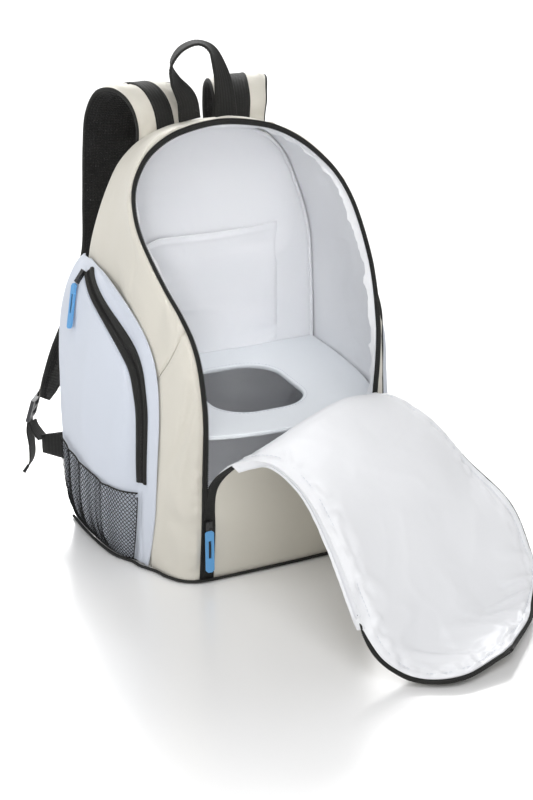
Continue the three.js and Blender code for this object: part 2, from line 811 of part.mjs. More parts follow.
// Side pockets: a shell over the gusset that stands out towards the back.
function pocketSurface(along, across) {
  const front = column(pocketRows, "along", "front", along);
  const stand = column(pocketRows, "along", "stand", along) * pocketStand;
  const rise = column(pocketProfile, "across", "rise", across);
  const t = THREE.MathUtils.lerp(front, 1, across);
  const u = along / 2;
  const lift = pocketWall + pocketGap + Math.max(stand * rise, 0);
  return gusset(u, t).addScaledVector(normalAt(gusset, u, t), lift);
}
const pocketTop = pocketRows[pocketRows.length - 1].along;
const pocketFoot = pocketRows[0].along;
const pocketRowSteps = 13;
const pocketColumnSteps = 9;
const onPocket = (a, b) => pocketSurface(THREE.MathUtils.lerp(pocketFoot, pocketTop, a), b);
const pocketShell = sheet(
  onPocket,
  [pocketRowSteps, pocketColumnSteps],
  { a0: 0, a1: 1, b0: 0, b1: 1 },
  0,
  pocketWall,
);

// A ribbon seen from the side as a line of small width, run through the left side.
function sideKnife(points) {
  const near = [];
  const far = [];
  points.forEach((p, i) => {
    const a = points[Math.max(i - 1, 0)];
    const b = points[Math.min(i + 1, points.length - 1)];
    const direction = b.clone().sub(a).normalize();
    const off = new THREE.Vector2(-direction.y, direction.x).multiplyScalar(seamCut / 2);
    near.push(p.clone().add(off));
    far.push(p.clone().sub(off));
  });
  const shape = new THREE.Shape([...near, ...far.reverse()]);
  const ribbon = new THREE.ExtrudeGeometry(shape, { depth: backWidth, bevelEnabled: false });
  const toSide = new THREE.Matrix4().makeBasis(Y, Z, X);
  return indexed(ribbon.applyMatrix4(toSide).translate(-backWidth, 0, 0));
}
const zipEdge = new THREE.SplineCurve(
  pocketZipRows.map((r) => new THREE.Vector2(-r.fore * halfDepth, r.up * bagHeight)),
);
const zipSteps = 12;
const zipFront = zipEdge.getSpacedPoints(zipSteps);
const zipRear = zipFront.map((p, i) => {
  const tangent = zipEdge.getTangentAt(i / zipSteps);
  return p.clone().add(new THREE.Vector2(-tangent.y, tangent.x).multiplyScalar(pocketZipWidth));
});
const zipFoot = zipFront[zipFront.length - 1];
const frontKnife = sideKnife([
  new THREE.Vector2(halfDepth + 20, zipFront[0].y + 2),
  ...zipFront,
  new THREE.Vector2(zipFoot.x + 6, zipFoot.y * 0.5),
  new THREE.Vector2(zipFoot.x + 12, -20),
]);
const rearKnife = sideKnife([
  new THREE.Vector2(halfDepth + 20, zipRear[0].y + 2),
  ...zipRear,
  new THREE.Vector2(zipRear[zipRear.length - 1].x - 3, zipFoot.y - 3),
  new THREE.Vector2(zipFoot.x - 4, zipFoot.y - 4),
]);
const pocketBodies = cutApart(pocketShell, [frontKnife, rearKnife]);
const [pocketMain, pocketFront, pocketZip] = pocketBodies;
addPair("side_pocket", geometryOf(pocketMain), paleBlueNylon);
addPair("side_pocket_front", geometryOf(pocketFront), paleBlueNylon);
addPair("side_pocket_zip", geometryOf(pocketZip), blackTape);

// Mesh pocket over the lower half of each side pocket, on the pocket's own columns.
const meshFirst = 2;
const meshLast = pocketColumnSteps - 1;
function meshPoint(a, b) {
  const across = THREE.MathUtils.lerp(meshFirst, meshLast, b) / pocketColumnSteps;
  const top = column(meshTopRows, "across", "up", THREE.MathUtils.clamp(across, 0.2, 0.96));
  const along = THREE.MathUtils.lerp(pocketFoot + 0.004, top * 0.86 + 0.02, a);
  const slack = meshSlack * Math.sin(Math.PI * b) * Math.sin(Math.PI * Math.min(a, 0.9));
  const up = (v, w) => pocketSurface(v * pocketTop, w);
  const n = normalAt(up, along / pocketTop, across);
  return pocketSurface(along, across).addScaledVector(n, meshWall + meshGap + slack);
}
addPair(
  "mesh_pocket",
  sheet(meshPoint, [5, meshLast - meshFirst], { a0: 0, a1: 1, b0: 0, b1: 1 }, 0, meshWall),
  blackMesh,
);

// Floor of each side pocket, between the shell and the body.
function pocketFloor() {
  const outer = [];
  const inner = [];
  for (let i = 1; i <= 12; i += 1) {
    const across = i / 12.4;
    const p = pocketSurface(pocketFoot, across);
    const front = column(pocketRows, "along", "front", pocketFoot);
    const q = gusset(0, THREE.MathUtils.lerp(front, 1, across));
    const gap = q.clone().sub(p).setZ(0);
    const shrink = (pocketWall + clearance * 2) / Math.max(gap.length(), 1);
    if (shrink > 0.4) continue;
    outer.push(p.clone().addScaledVector(gap, shrink));
    inner.push(q.clone().addScaledVector(gap, -0.9 / gap.length()));
  }
  const loops = outer.map((p, i) => {
    const q = inner[i];
    return [
      new THREE.Vector3(p.x, p.y, 0),
      new THREE.Vector3(q.x, q.y, 0),
      new THREE.Vector3(q.x, q.y, pocketFloorWall),
      new THREE.Vector3(p.x, p.y, pocketFloorWall),
    ];
  });
  return skin(loops);
}
addPair("side_pocket_floor", pocketFloor(), blackTape);

// Piping along the foot of the bag, round both pockets and the front.
function pipingPath() {
  const points = [];
  const out = pipingRadius + clearance * 4;
  const front = column(pocketRows, "along", "front", pocketFoot);
  for (const across of [0.9, 0.75, 0.6, 0.45, 0.3, 0.15, 0.05]) {
    const p = pocketSurface(pocketFoot, across);
    const n = normalAt((v, w) => pocketSurface(v * 0.6, w), pocketFoot / 0.6, across);
    points.push(p.addScaledVector(n, out + meshWall + meshGap));
  }
  for (const t of [front - 0.07, front - 0.14, 0.2, 0.1, 0.02]) {
    const p = gusset(0, t);
    points.push(p.addScaledVector(normalAt(gusset, 0, t), out));
  }
  const right = points.map((p) => new THREE.Vector3(-p.x, p.y, p.z)).reverse();
  return new THREE.CatmullRomCurve3(
    [...points, ...right].map((p) => p.setZ(pipingRadius + pipingLift)),
    false,
    "centripetal",
  );
}
add(
  "base_piping",
  sweep(pipingPath(), 32, roundSection, () => Z, () => ({ radius: pipingRadius })),
  blackTape,
);

// Shoulder straps
const strapPath = new THREE.CatmullRomCurve3(
  strapRows.map(
    (r) =>
      new THREE.Vector3(
        -r.out * strapX,
        backY + r.aft * strapStandOff,
        r.up * strapCrest,
      ),
  ),
  false,
  "centripetal",
);
const strapShare = (name, u) => {
  const place = strapPath.getUtoTmapping(u) * (strapRows.length - 1);
  const rows = strapRows.map((r, i) => ({ ...r, i }));
  return column(rows, "i", name, place);
};
const strapSide = (u) => {
  const turn = THREE.MathUtils.degToRad(strapShare("turn", u));
  return new THREE.Vector3(Math.cos(turn), -Math.sin(turn), 0);
};
addPair(
  "shoulder_strap",
  sweep(strapPath, 20, paddedSection, strapSide, (u) => ({
    width: strapShare("broad", u) * strapWidth,
    thickness: strapThickness,
  })),
  creamNylon,
);
const webbingFirst = 2;
addPair(
  "strap_webbing",
  sweep(strapPath, 20, flatSection, strapSide, () => ({
    width: webbingWidth,
    thickness: webbingThickness,
    lift: strapThickness / 2 + webbingThickness / 2 + clearance,
  }), webbingFirst),
  blackWebbing,
);

// Ladder buckle at the lower end of each strap
function frameWithSlots(width, height, bar, slots) {
  const shape = new THREE.Shape([
    new THREE.Vector2(-width / 2, -height / 2),
    new THREE.Vector2(width / 2, -height / 2),
    new THREE.Vector2(width / 2, height / 2),
    new THREE.Vector2(-width / 2, height / 2),
  ]);
  const slotHeight = (height - bar * (slots + 1)) / slots;
  for (let i = 0; i < slots; i += 1) {
    const y = -height / 2 + bar + i * (slotHeight + bar);
    shape.holes.push(
      new THREE.Path([
        new THREE.Vector2(-width / 2 + bar, y),
        new THREE.Vector2(-width / 2 + bar, y + slotHeight),
        new THREE.Vector2(width / 2 - bar, y + slotHeight),
        new THREE.Vector2(width / 2 - bar, y),
      ]),
    );
  }
  return shape;
}
const buckle = new THREE.ExtrudeGeometry(
  frameWithSlots(buckleWidth, buckleHeight, buckleBar, 2),
  { depth: buckleThickness, bevelEnabled: false },
);
buckle.translate(0, 0, -buckleThickness / 2);
const buckleSide = new THREE.Vector3(0.55, 0.83, 0).normalize();
const buckleUp = new THREE.Vector3(0.25, -0.16, 0.955);
buckleUp.addScaledVector(buckleSide, -buckleUp.dot(buckleSide)).normalize();
const buckleFace = new THREE.Vector3().crossVectors(buckleSide, buckleUp);
buckle.applyMatrix4(new THREE.Matrix4().makeBasis(buckleSide, buckleUp, buckleFace));
const strapEnd = strapPath.getPointAt(1);
const buckleAt = strapEnd.clone().add(new THREE.Vector3(-buckleOut, buckleAft, -buckleDrop));
buckle.translate(buckleAt.x, buckleAt.y, buckleAt.z);
addPair("ladder_buckle", indexed(buckle), greyPlastic);

// An extruded geometry as an indexed one with shared corners.
function indexed(geometry) {
  const p = geometry.getAttribute("position");
  const seen = new Map();
  const positions = [];
  const faces = [];
  for (let i = 0; i < p.count; i += 1) {
    const key = [p.getX(i), p.getY(i), p.getZ(i)].map((v) => v.toFixed(4)).join(",");
    if (!seen.has(key)) {
      seen.set(key, positions.length / 3);
      positions.push(p.getX(i), p.getY(i), p.getZ(i));
    }
    faces.push(seen.get(key));
  }
  return facingOut(positions, faces);
}

// Webbing below the buckle: the part that is sewn to the tab, and the loose tail.
const rowPath = (rows) =>
  new THREE.CatmullRomCurve3(
    rows.map((r) => buckleAt.clone().add(new THREE.Vector3(-r.out, r.aft, -r.down))),
    false,
    "centripetal",
  );
const lowerSize = () => ({ width: anchorWebbingWidth, thickness: webbingThickness });
addPair(
  "lower_webbing",
  sweep(rowPath(anchorRows), 5, flatSection, () => buckleSide, lowerSize),
  blackWebbing,
);
addPair(
  "webbing_tail",
  sweep(rowPath(tailRows), 12, flatSection, () => buckleSide, lowerSize),
  blackWebbing,
);

// Tab of folded webbing between the lower webbing and the back seam.
const tabFrom = new THREE.Vector3(-halfBack - 1, backY + 0.4, 0);
const tabTo = buckleAt.clone().add(new THREE.Vector3(3.2, -13.1, 0)).setZ(0);
const tabReach = tabTo.distanceTo(tabFrom);
const tabShape = new THREE.Shape([
  new THREE.Vector2(0, tabFoot),
  new THREE.Vector2(tabReach, tabFoot + tabHeight * 0.32),
  new THREE.Vector2(tabReach, tabFoot + tabHeight * 0.78),
  new THREE.Vector2(0, tabFoot + tabHeight),
]);
const tab = new THREE.ExtrudeGeometry(tabShape, { depth: tabThickness, bevelEnabled: false });
const tabAlong = tabTo.clone().sub(tabFrom).normalize();
const tabFace = new THREE.Vector3().crossVectors(tabAlong, Z);
tab.applyMatrix4(new THREE.Matrix4().makeBasis(tabAlong, Z, tabFace));
tab.translate(tabFrom.x, tabFrom.y, 0);
addPair("anchor_tab", indexed(tab), blackWebbing);

// Grab handle
const handlePath = new THREE.CatmullRomCurve3(
  handleRows.map(
    (r) =>
      new THREE.Vector3(r.across * handleFootSpread, r.aft * halfDepth, r.up * bagHeight),
  ),
  false,
  "centripetal",
);
const handleSide = (u) => {
  const place = handlePath.getUtoTmapping(u) * (handleRows.length - 1);
  const rows = handleRows.map((r, i) => ({ ...r, i }));
  const turn = THREE.MathUtils.degToRad(column(rows, "i", "turn", place));
  return new THREE.Vector3(Math.cos(turn), Math.sin(turn), 0);
};
add(
  "grab_handle",
  sweep(handlePath, 26, flatSection, handleSide, () => ({
    width: handleWidth,
    thickness: handleThickness,
  })),
  blackWebbing,
);

// Sliders and tags. A tag is a plate with a slot and hangs from its slider.
function tagGeometry() {
  const shape = new THREE.Shape();
  const [w, l, r] = [tagWidth / 2, tagLength, 2.4];
  shape.moveTo(-w + r, -l);
  shape.lineTo(w - r, -l);
  shape.lineTo(w, -l + r);
  shape.lineTo(w, -r);
  shape.lineTo(w - r, 0);
  shape.lineTo(-w + r, 0);
  shape.lineTo(-w, -r);
  shape.lineTo(-w, -l + r);
  const slot = new THREE.Path();
  const top = -tagLength * 0.24;
  slot.moveTo(-tagSlotWidth / 2, top);
  slot.lineTo(-tagSlotWidth / 2, top - tagSlotLength);
  slot.lineTo(tagSlotWidth / 2, top - tagSlotLength);
  slot.lineTo(tagSlotWidth / 2, top);
  shape.holes.push(slot);
  return new THREE.ExtrudeGeometry(shape, { depth: tagThickness, bevelEnabled: false });
}
function place(geometry, at, face, up) {
  const out = face.clone().normalize();
  const along = up.clone().addScaledVector(out, -up.dot(out)).normalize();
  const side = new THREE.Vector3().crossVectors(along, out);
  const turn = new THREE.Matrix4().makeBasis(side, along, out);
  const flat = geometry.index ? geometry.toNonIndexed() : geometry;
  return indexed(flat.applyMatrix4(turn).translate(at.x, at.y, at.z));
}
// The left half of the zip line at a height.
function zipPoint(height) {
  let low = 0;
  let high = 0.5;
  for (let i = 0; i < 24; i += 1) {
    const middle = (low + high) / 2;
    if (zipLine.getPointAt(middle).z < height) low = middle;
    else high = middle;
  }
  return zipLine.getPointAt(low);
}

// The place on a side pocket that its side view shows at a point.
function pocketSpot(y, z) {
  let [along, across] = [pocketTop * 0.8, 0.7];
  const step = 1e-3;
  for (let i = 0; i < 40; i += 1) {
    const p = pocketSurface(along, across);
    const up = pocketSurface(along + step, across).sub(p).divideScalar(step);
    const aft = pocketSurface(along, across + step).sub(p).divideScalar(step);
    const turn = up.y * aft.z - up.z * aft.y;
    const [dy, dz] = [y - p.y, z - p.z];
    along += THREE.MathUtils.clamp((dy * aft.z - dz * aft.y) / turn, -0.05, 0.05);
    across += THREE.MathUtils.clamp((up.y * dz - up.z * dy) / turn, -0.05, 0.05);
  }
  return pocketSurface(along, across);
}
const sliderBox = (length) => new THREE.BoxGeometry(sliderWidth, length, sliderHeight);
const front = Y.clone().negate();
const mainAt = zipPoint(sliderUp * bagHeight).add(
  new THREE.Vector3(sliderAside, -sliderStand, 0),
);
add("zip_slider", place(sliderBox(sliderLength), mainAt, front, Z), greyPlastic);
add(
  "zip_pull",
  place(tagGeometry(), mainAt.clone().add(new THREE.Vector3(0.3, 0, -5.3)), front, Z),
  blueRubber,
);
const pocketFaceOut = new THREE.Vector3(-0.81, 0, 0.58);
const pocketSlider = pocketSpot(-pocketSliderFore * halfDepth, pocketSliderUp * bagHeight);
pocketSlider.x -= pocketSliderStand;
addPair(
  "side_pocket_slider",
  place(sliderBox(pocketSliderLength), pocketSlider, pocketFaceOut, Z),
  greyPlastic,
);
addPair(
  "side_pocket_pull",
  place(
    tagGeometry(),
    pocketSlider.clone().add(new THREE.Vector3(-5.8, 0, -6.7)),
    new THREE.Vector3(-0.93, -0.1, 0.33),
    new THREE.Vector3(0.26, 0.36, 0.9),
  ),
  blueRubber,
);

export default root;
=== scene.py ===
"""Cooler backpack with its front flap unzipped and folded down to the floor, as it looks.

Lengths are millimetres up to the point where a mesh is made, and metres after it.
The frame is the solids' own: +Z up, the opening faces -Y, left is -X.
"""
import logging
import math
from dataclasses import dataclass, field
from enum import Enum
from typing import Callable

import bmesh
import bpy
import numpy as np
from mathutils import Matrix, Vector


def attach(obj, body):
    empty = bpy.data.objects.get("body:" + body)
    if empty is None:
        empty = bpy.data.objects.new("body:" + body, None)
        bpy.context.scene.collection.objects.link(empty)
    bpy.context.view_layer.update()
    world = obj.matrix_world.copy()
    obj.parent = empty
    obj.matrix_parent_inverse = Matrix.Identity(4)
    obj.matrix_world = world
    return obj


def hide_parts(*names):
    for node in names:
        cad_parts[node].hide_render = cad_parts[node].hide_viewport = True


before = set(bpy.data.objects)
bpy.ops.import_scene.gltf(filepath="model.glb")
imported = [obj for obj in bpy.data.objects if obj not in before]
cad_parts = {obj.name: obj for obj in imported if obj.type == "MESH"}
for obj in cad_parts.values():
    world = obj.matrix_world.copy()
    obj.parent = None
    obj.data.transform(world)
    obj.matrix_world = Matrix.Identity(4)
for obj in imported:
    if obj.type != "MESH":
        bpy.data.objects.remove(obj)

Array = np.ndarray
Surface = Callable[[Array, Array], Array]
log = logging.getLogger("cooler_backpack")
MM = 0.001
# The mouth zip's teeth: one to this length of it, and a tooth's length, width and height.
TOOTH_PITCH = 2.1
TOOTH = (2.4, 1.25, 1.9)
UP = np.array([0.0, 0.0, 1.0])
AFT = np.array([0.0, 1.0, 0.0])


# Small mathematics


def unit(v: Array) -> Array:
    """Vectors brought to length one."""
    return v / np.maximum(np.linalg.norm(v, axis=-1, keepdims=True), 1e-9)


def smooth(v: Array) -> Array:
    """A soft step from 0 to 1 as v goes from 0 to 1."""
    v = np.clip(v, 0.0, 1.0)
    return v * v * (3.0 - 2.0 * v)


def mix(a: Array, b: Array, t: Array) -> Array:
    """A straight blend from a to b."""
    return a + (b - a) * t


def spread(a: Array) -> Array:
    """A field of numbers with one more axis, so that it scales vectors."""
    return np.asarray(a, float)[..., None]


def column(keys: tuple, values: tuple, place: Array) -> Array:
    """Reads a table's column at places along it, on a smooth curve through its rows.

    Args:
        keys: rising places of the rows.
        values: the column's number in each row.
        place: where to read it.

    Returns:
        The numbers read, in the shape of place.
    """
    k, v = np.asarray(keys, float), np.asarray(values, float)
    place = np.asarray(place, float)
    last = len(k) - 1
    low, high = np.maximum(np.arange(last + 1) - 1, 0), np.minimum(np.arange(last + 1) + 1, last)
    slope = (v[high] - v[low]) / (k[high] - k[low])
    i = np.searchsorted(k[1:-1], place, side="left")
    span = k[i + 1] - k[i]
    t = np.clip((place - k[i]) / span, 0.0, 1.0)
    t2, t3 = t * t, t * t * t
    return ((2 * t3 - 3 * t2 + 1) * v[i] + (t3 - 2 * t2 + t) * span * slope[i]
            + (3 * t2 - 2 * t3) * v[i + 1] + (t3 - t2) * span * slope[i + 1])


def walked(line: Array) -> Array:
    """The length walked along a line at each of its points."""
    return np.concatenate([[0.0], np.cumsum(np.linalg.norm(np.diff(line, axis=0), axis=1))])


def read_rows(places: Array, run: Array, rows: Array) -> Array:
    """Rows of points or directions, read at places between them."""
    return np.stack([np.interp(places, run, c) for c in rows.T], axis=-1)


def square_to(side: Array, way: Array) -> Array:
    """Directions made square to the way that a line runs, and of length one."""
    return unit(side - way * np.sum(side * way, axis=-1, keepdims=True))


def share_grid(rows: int, columns: int) -> tuple[Array, Array]:
    """Shares from 0 to 1 along and across a patch, at each point of its grid."""
    return (np.linspace(0, 1, rows)[:, None] + np.zeros(columns),
            np.linspace(0, 1, columns)[None, :] + np.zeros((rows, 1)))


class Curve:
    """A smooth line through points, read by its share of length."""

    def __init__(self, points: Array, even: bool = False, fine: int = 60) -> None:
        """Samples the line.

        Args:
            points: the points that it passes through.
            even: whether each span counts the same instead of by its length.
            fine: samples to a span.
        """
        p = np.asarray(points, float)
        ends = (p[:1], p[-1:]) if even else (2 * p[:1] - p[1:2], 2 * p[-1:] - p[-2:-1])
        ext = np.vstack([ends[0], p, ends[1]])
        t = np.linspace(0.0, 1.0, fine, endpoint=False)[:, None]
        rows = []
        for i in range(len(p) - 1):
            p0, p1, p2, p3 = ext[i:i + 4]
            if even:
                m1, m2 = (p2 - p0) / 2, (p3 - p1) / 2
            else:
                d0, d1, d2 = (max(float(np.sum((b - a) ** 2)) ** 0.25, 1e-4)
                              for a, b in ((p0, p1), (p1, p2), (p2, p3)))
                m1 = ((p1 - p0) / d0 - (p2 - p0) / (d0 + d1) + (p2 - p1) / d1) * d1
                m2 = ((p2 - p1) / d1 - (p3 - p1) / (d1 + d2) + (p3 - p2) / d2) * d1
            rows.append(p1 + m1 * t + (3 * (p2 - p1) - 2 * m1 - m2) * t ** 2
                        + (2 * (p1 - p2) + m1 + m2) * t ** 3)
        self.samples = np.vstack(rows + [p[-1:]])
        run = walked(self.samples)
        self.length = float(run[-1])
        self.shares = run / run[-1]
        self.places = np.linspace(0.0, len(p) - 1, len(self.samples))

    def at(self, u: Array) -> Array:
        """Points at shares u of the length."""
        return read_rows(np.clip(u, 0.0, 1.0), self.shares, self.samples)

    def tangent(self, u: Array) -> Array:
        """Directions of the line at shares u."""
        u = np.asarray(u, float)
        return unit(self.at(np.minimum(u + 2e-3, 1.0)) - self.at(np.maximum(u - 2e-3, 0.0)))

    def place(self, u: Array) -> Array:
        """The row number, with its fraction, that a share of the length falls on."""
        return np.interp(u, self.shares, self.places)


def above(points: Array, height: float) -> Array:
    """Points that are kept at or above a height."""
    return np.concatenate([points[..., :2], np.maximum(points[..., 2:], height)], -1)


def normal_of(surface: Surface, a: Array, b: Array, step: float = 1e-3) -> Array:
    """Outward directions of a surface given by two places from 0 to 1."""
    a, b = np.broadcast_arrays(np.asarray(a, float), np.asarray(b, float))
    along = surface(np.minimum(a + step, 1), b) - surface(np.maximum(a - step, 0), b)
    across = surface(a, np.minimum(b + step, 1)) - surface(a, np.maximum(b - step, 0))
    return unit(np.cross(along, across))


def faced(surface: Surface, a: Array, b: Array) -> tuple[Array, Array]:
    """Points of a surface and its outward directions there."""
    return surface(a, b), normal_of(surface, a, b)


_TABLE = np.random.default_rng(7).permutation(256)
_TABLE = np.concatenate([_TABLE, _TABLE])
_SLOPES = unit(np.random.default_rng(11).normal(size=(256, 3)))


def grain(points: Array, size: float, seed: int = 0, stretch: tuple = (1, 1, 1)) -> Array:
    """Smooth random relief between about -1 and 1, the same on every run.

    Args:
        points: places in millimetres.
        size: the relief's typical width in millimetres.
        seed: picks another relief.
        stretch: how much longer it is along each axis.

    Returns:
        The relief's height at each place.
    """
    p = points / (size * np.asarray(stretch, float)) + np.array([17.3, 5.1, 9.7]) * (seed + 1)
    cell = np.floor(p).astype(int)
    part = p - cell
    fade = part ** 3 * (part * (part * 6 - 15) + 10)
    total = np.zeros(p.shape[:-1])
    for dx in (0, 1):
        for dy in (0, 1):
            for dz in (0, 1):
                c = (cell + (dx, dy, dz)) & 255
                pick = _TABLE[_TABLE[_TABLE[c[..., 0]] + c[..., 1]] + c[..., 2]]
                height = np.sum(_SLOPES[pick] * (part - (dx, dy, dz)), axis=-1)
                total += height * np.prod(np.where((dx, dy, dz), fade, 1 - fade), axis=-1)
    return total * 1.6


def creases(points: Array, size: float, seed: int = 0, stretch: tuple = (1, 1, 1)) -> Array:
    """Sharp-topped folds from 0 to 1, as in thin sheet that was once crushed."""
    bent = points + spread(grain(points, size * 1.7, seed + 40, stretch)) * size * 0.5
    return np.clip(1.0 - np.abs(grain(bent, size, seed, stretch)) * 2.6, 0.0, 1.0) ** 1.6


@dataclass(frozen=True)
class Fold:
    """One fold pressed into or raised on a patch, from one place to another.

    Places are (along, across) shares of the patch; width and height are millimetres.
    """

    start: tuple[float, float]
    end: tuple[float, float]
    width: float
    height: float

    def lift(self, a: Array, b: Array, size: tuple[float, float]) -> Array:
        """Height of the fold at places of a patch.

        Args:
            a: shares along the patch.
            b: shares across it.
            size: the patch's length and width in millimetres.

        Returns:
            Millimetres of rise at each place.
        """
        scale = np.array(size, float)
        p = np.stack(np.broadcast_arrays(a, b), axis=-1) * scale
        s, e = np.array(self.start) * scale, np.array(self.end) * scale
        way = e - s
        t = np.clip(np.sum((p - s) * way, axis=-1) / np.dot(way, way), 0.0, 1.0)
        off = np.linalg.norm(p - (s + spread(t) * way), axis=-1)
        return self.height * np.exp(-((off / self.width) ** 2)) * np.sin(np.pi * (0.12 + 0.76 * t))


# The bag's form, from the same named sizes as the solids


@dataclass(frozen=True)
class BagForm:
    """Curves and surfaces of the bag, in millimetres."""

    height: float = 432
    depth: float = 215
    back_width: float = 274
    mouth_width: float = 236
    wall: float = 3
    lining: float = 1.2
    clearance: float = 0.3
    tape_width: float = 8
    tape_bare: tuple[float, float] = (1.12, 0.58)
    tape_gap: float = 0.9
    base_corner: float = 48
    crown_corner: float = 11
    side_swell: float = 4
    shelf_top: float = 165
    flap_wall: float = 3.4
    pocket_stand: float = 33
    pocket_lift: float = 3.6
    zip_up: tuple = (0, .139, .278, .424, .491, .565, .613, .66, .713, .799, .845, .882, .912, .947,
                     .978, .993, 1.0)
    zip_out: tuple = (.763, .771, .78, .78, .797, .822, .847, .89, .949, 1.0, .985, .935, .853, .712,
                      .5, .27, 0)
    zip_fore: tuple = (.949, 1.023, 1.07, 1.098, 1.098, 1.06, .977, .837, .614, .223, .028, -.13,
                       -.251, -.37, -.44, -.485, -.502)
    back_up: tuple = (0, .2, .4, .55, .685, .764, .85, .907, .952, .98, .992, .994)
    back_out: tuple = (1.0, 1.01, 1.005, .99, .955, .89, .785, .685, .53, .33, .14, 0)
    back_aft: tuple = (1, 1, 1, 1, 1, .995, .985, .97, .945, .915, .9, .895)
    flap_along: tuple = (0, .139, .25, .324, .394, .451, .544, .671, .787, .891, .981, 1.069, 1.123,
                         1.158)
    flap_lx: tuple = (-.2075, -.2095, -.2095, -.181, -.139, -.104, -.067, -.056, -.056, -.053, -.019,
                      .035, .12, .245)
    flap_lf: tuple = (.236, .2545, .268, .306, .366, .4, .472, .579, .671, .75, .792, .838, .866, .843)
    flap_lz: tuple = (0, .1385, .25, .31, .347, .347, .301, .22, .141, .069, .026, .009, .014, .032)
    flap_rx: tuple = (.2075, .2095, .2105, .2105, .2085, .241, .319, .398, .456, .472, .465, .417,
                      .361, .245)
    flap_rf: tuple = (.236, .2545, .2665, .272, .279, .292, .343, .398, .498, .567, .606, .671, .745,
                      .843)
    flap_rz: tuple = (0, .1385, .25, .323, .391, .41, .361, .259, .181, .086, .039, .019, .023, .032)
    flap_rise: tuple = (0, 0, 0, .026, .045, .05, .03, .01, 0, 0, 0, 0, 0, 0)
    flap_swell: tuple = (.006, .012, .018, .026, .024, .02, .03, .01, 0, 0, 0, 0, 0, 0)
    pocket_along: tuple = (.006, .06, .14, .35, .42, .48, .52, .555, .578, .586)
    pocket_front: tuple = (.455, .425, .4, .395, .41, .465, .54, .65, .79, .92)
    pocket_share: tuple = (.68, .9, 1.0, 1.0, .97, .87, .7, .46, .22, .05)
    profile_across: tuple = (0, .08, .16, .24, .32, .5, .7, .86, .94, .98, 1.0)
    profile_rise: tuple = (0, .06, .14, .42, .58, .78, .93, 1.0, .96, .6, .03)
    zip_line: Curve = field(init=False)
    back_line: Curve = field(init=False)
    rim: Curve = field(init=False)
    flap_length: float = field(init=False)

    def __post_init__(self) -> None:
        """Draws the curves that the surfaces run between."""
        half_mouth, half_back, half = self.mouth_width / 2, self.back_width / 2, self.depth / 2
        up, out, fore = (np.array(c) for c in (self.zip_up, self.zip_out, self.zip_fore))
        left = np.stack([-out * half_mouth, -fore * half, up * self.height], axis=-1)
        put = object.__setattr__
        put(self, "zip_line", Curve(np.vstack([left, left[-2::-1] * (-1, 1, 1)])))
        rear = np.stack([-np.array(self.back_out) * half_back, np.array(self.back_aft) * half,
                         np.array(self.back_up) * self.height], axis=-1)
        put(self, "back_line", Curve(np.vstack([rear, rear[-2::-1] * (-1, 1, 1)])))
        along = np.concatenate([[0], np.cumsum(np.hypot(np.diff(up) * self.height, np.diff(fore) * half))])
        rim = np.stack([along, out * half_mouth], axis=-1)
        put(self, "rim", Curve(np.vstack([rim, rim[-2::-1] * (1, -1)]), even=True))
        put(self, "flap_length", float(along[-1]))

    @property
    def skin(self) -> float:
        """Wall, gap and lining together."""
        return self.wall + self.clearance + self.lining

    @property
    def flap_reach(self) -> float:
        """The length that shares along the flap run over, just short of its crown."""
        return self.flap_length - 0.6

    def gusset(self, u: Array, t: Array) -> Array:
        """The outer face: u runs along the arch, t from the zip line to the back."""
        u, t = np.broadcast_arrays(np.asarray(u, float), np.asarray(t, float))
        front, back, way = self.zip_line.at(u), self.back_line.at(u), self.zip_line.tangent(u)
        side = np.minimum(u, 1 - u) * 2
        pole = np.stack([np.zeros_like(side),
                         mix(front[..., 1], -0.2 * self.depth / 2, np.maximum(side - 0.5, 0) * 2),
                         np.minimum(front[..., 2], self.height * 0.69)], axis=-1)
        outward = front - pole
        outward = square_to(outward, way)
        span = np.linalg.norm(front - back, axis=-1)
        ease = smooth(side * 1.5)
        a = front + outward * spread(mix(self.base_corner, self.crown_corner, ease)) \
            + AFT * spread(0.1 * span * ease)
        swell = np.stack([back[..., 0], np.zeros_like(side),
                          np.maximum(back[..., 2] - self.height * 0.6, 0)], axis=-1)
        b = back - AFT * spread(0.55 * span) + unit(swell) * self.side_swell
        t = spread(t)
        return ((1 - t) ** 3 * front + 3 * (1 - t) ** 2 * t * a + 3 * (1 - t) * t * t * b + t ** 3 * back)

    def across_length(self, u: Array) -> Array:
        """The gusset's length from zip to back at a place along the arch."""
        return np.linalg.norm(self.zip_line.at(u) - self.back_line.at(u), axis=-1) * 1.08

    def half_at(self, along: Array) -> Array:
        """Half the flap's width at a length from its foot."""
        half = self.rim.at(np.linspace(0, 0.5, 161))
        return np.maximum(np.interp(along, half[:, 0], half[:, 1]), 1.0)

    def tape_at(self, u: Array) -> Array:
        """Width of the mouth zip's tape left bare by the cloth, wide at its feet, narrow at the crown."""
        return self.tape_width * mix(*self.tape_bare, np.sin(np.pi * np.clip(u, 0, 1)))

    def flap_point(self, along: Array, across: Array) -> Array:
        """The flap's outer face at a length from its foot and a distance from its middle."""
        along, across = np.broadcast_arrays(np.asarray(along, float), np.asarray(across, float))
        share = along / self.height
        read = lambda values: column(self.flap_along, values, share) * self.height
        left = np.stack([read(self.flap_lx), -read(self.flap_lf), read(self.flap_lz)], axis=-1)
        right = np.stack([read(self.flap_rx), -read(self.flap_rf), read(self.flap_rz)], axis=-1)
        b = np.clip(0.5 + across / (2 * self.half_at(along)), -0.02, 1.02)
        bow = 4 * b * (1 - b)
        flat = mix(left, right, spread(b))
        return flat + np.stack([np.zeros_like(bow), -bow * read(self.flap_swell),
                                bow * read(self.flap_rise)], axis=-1)

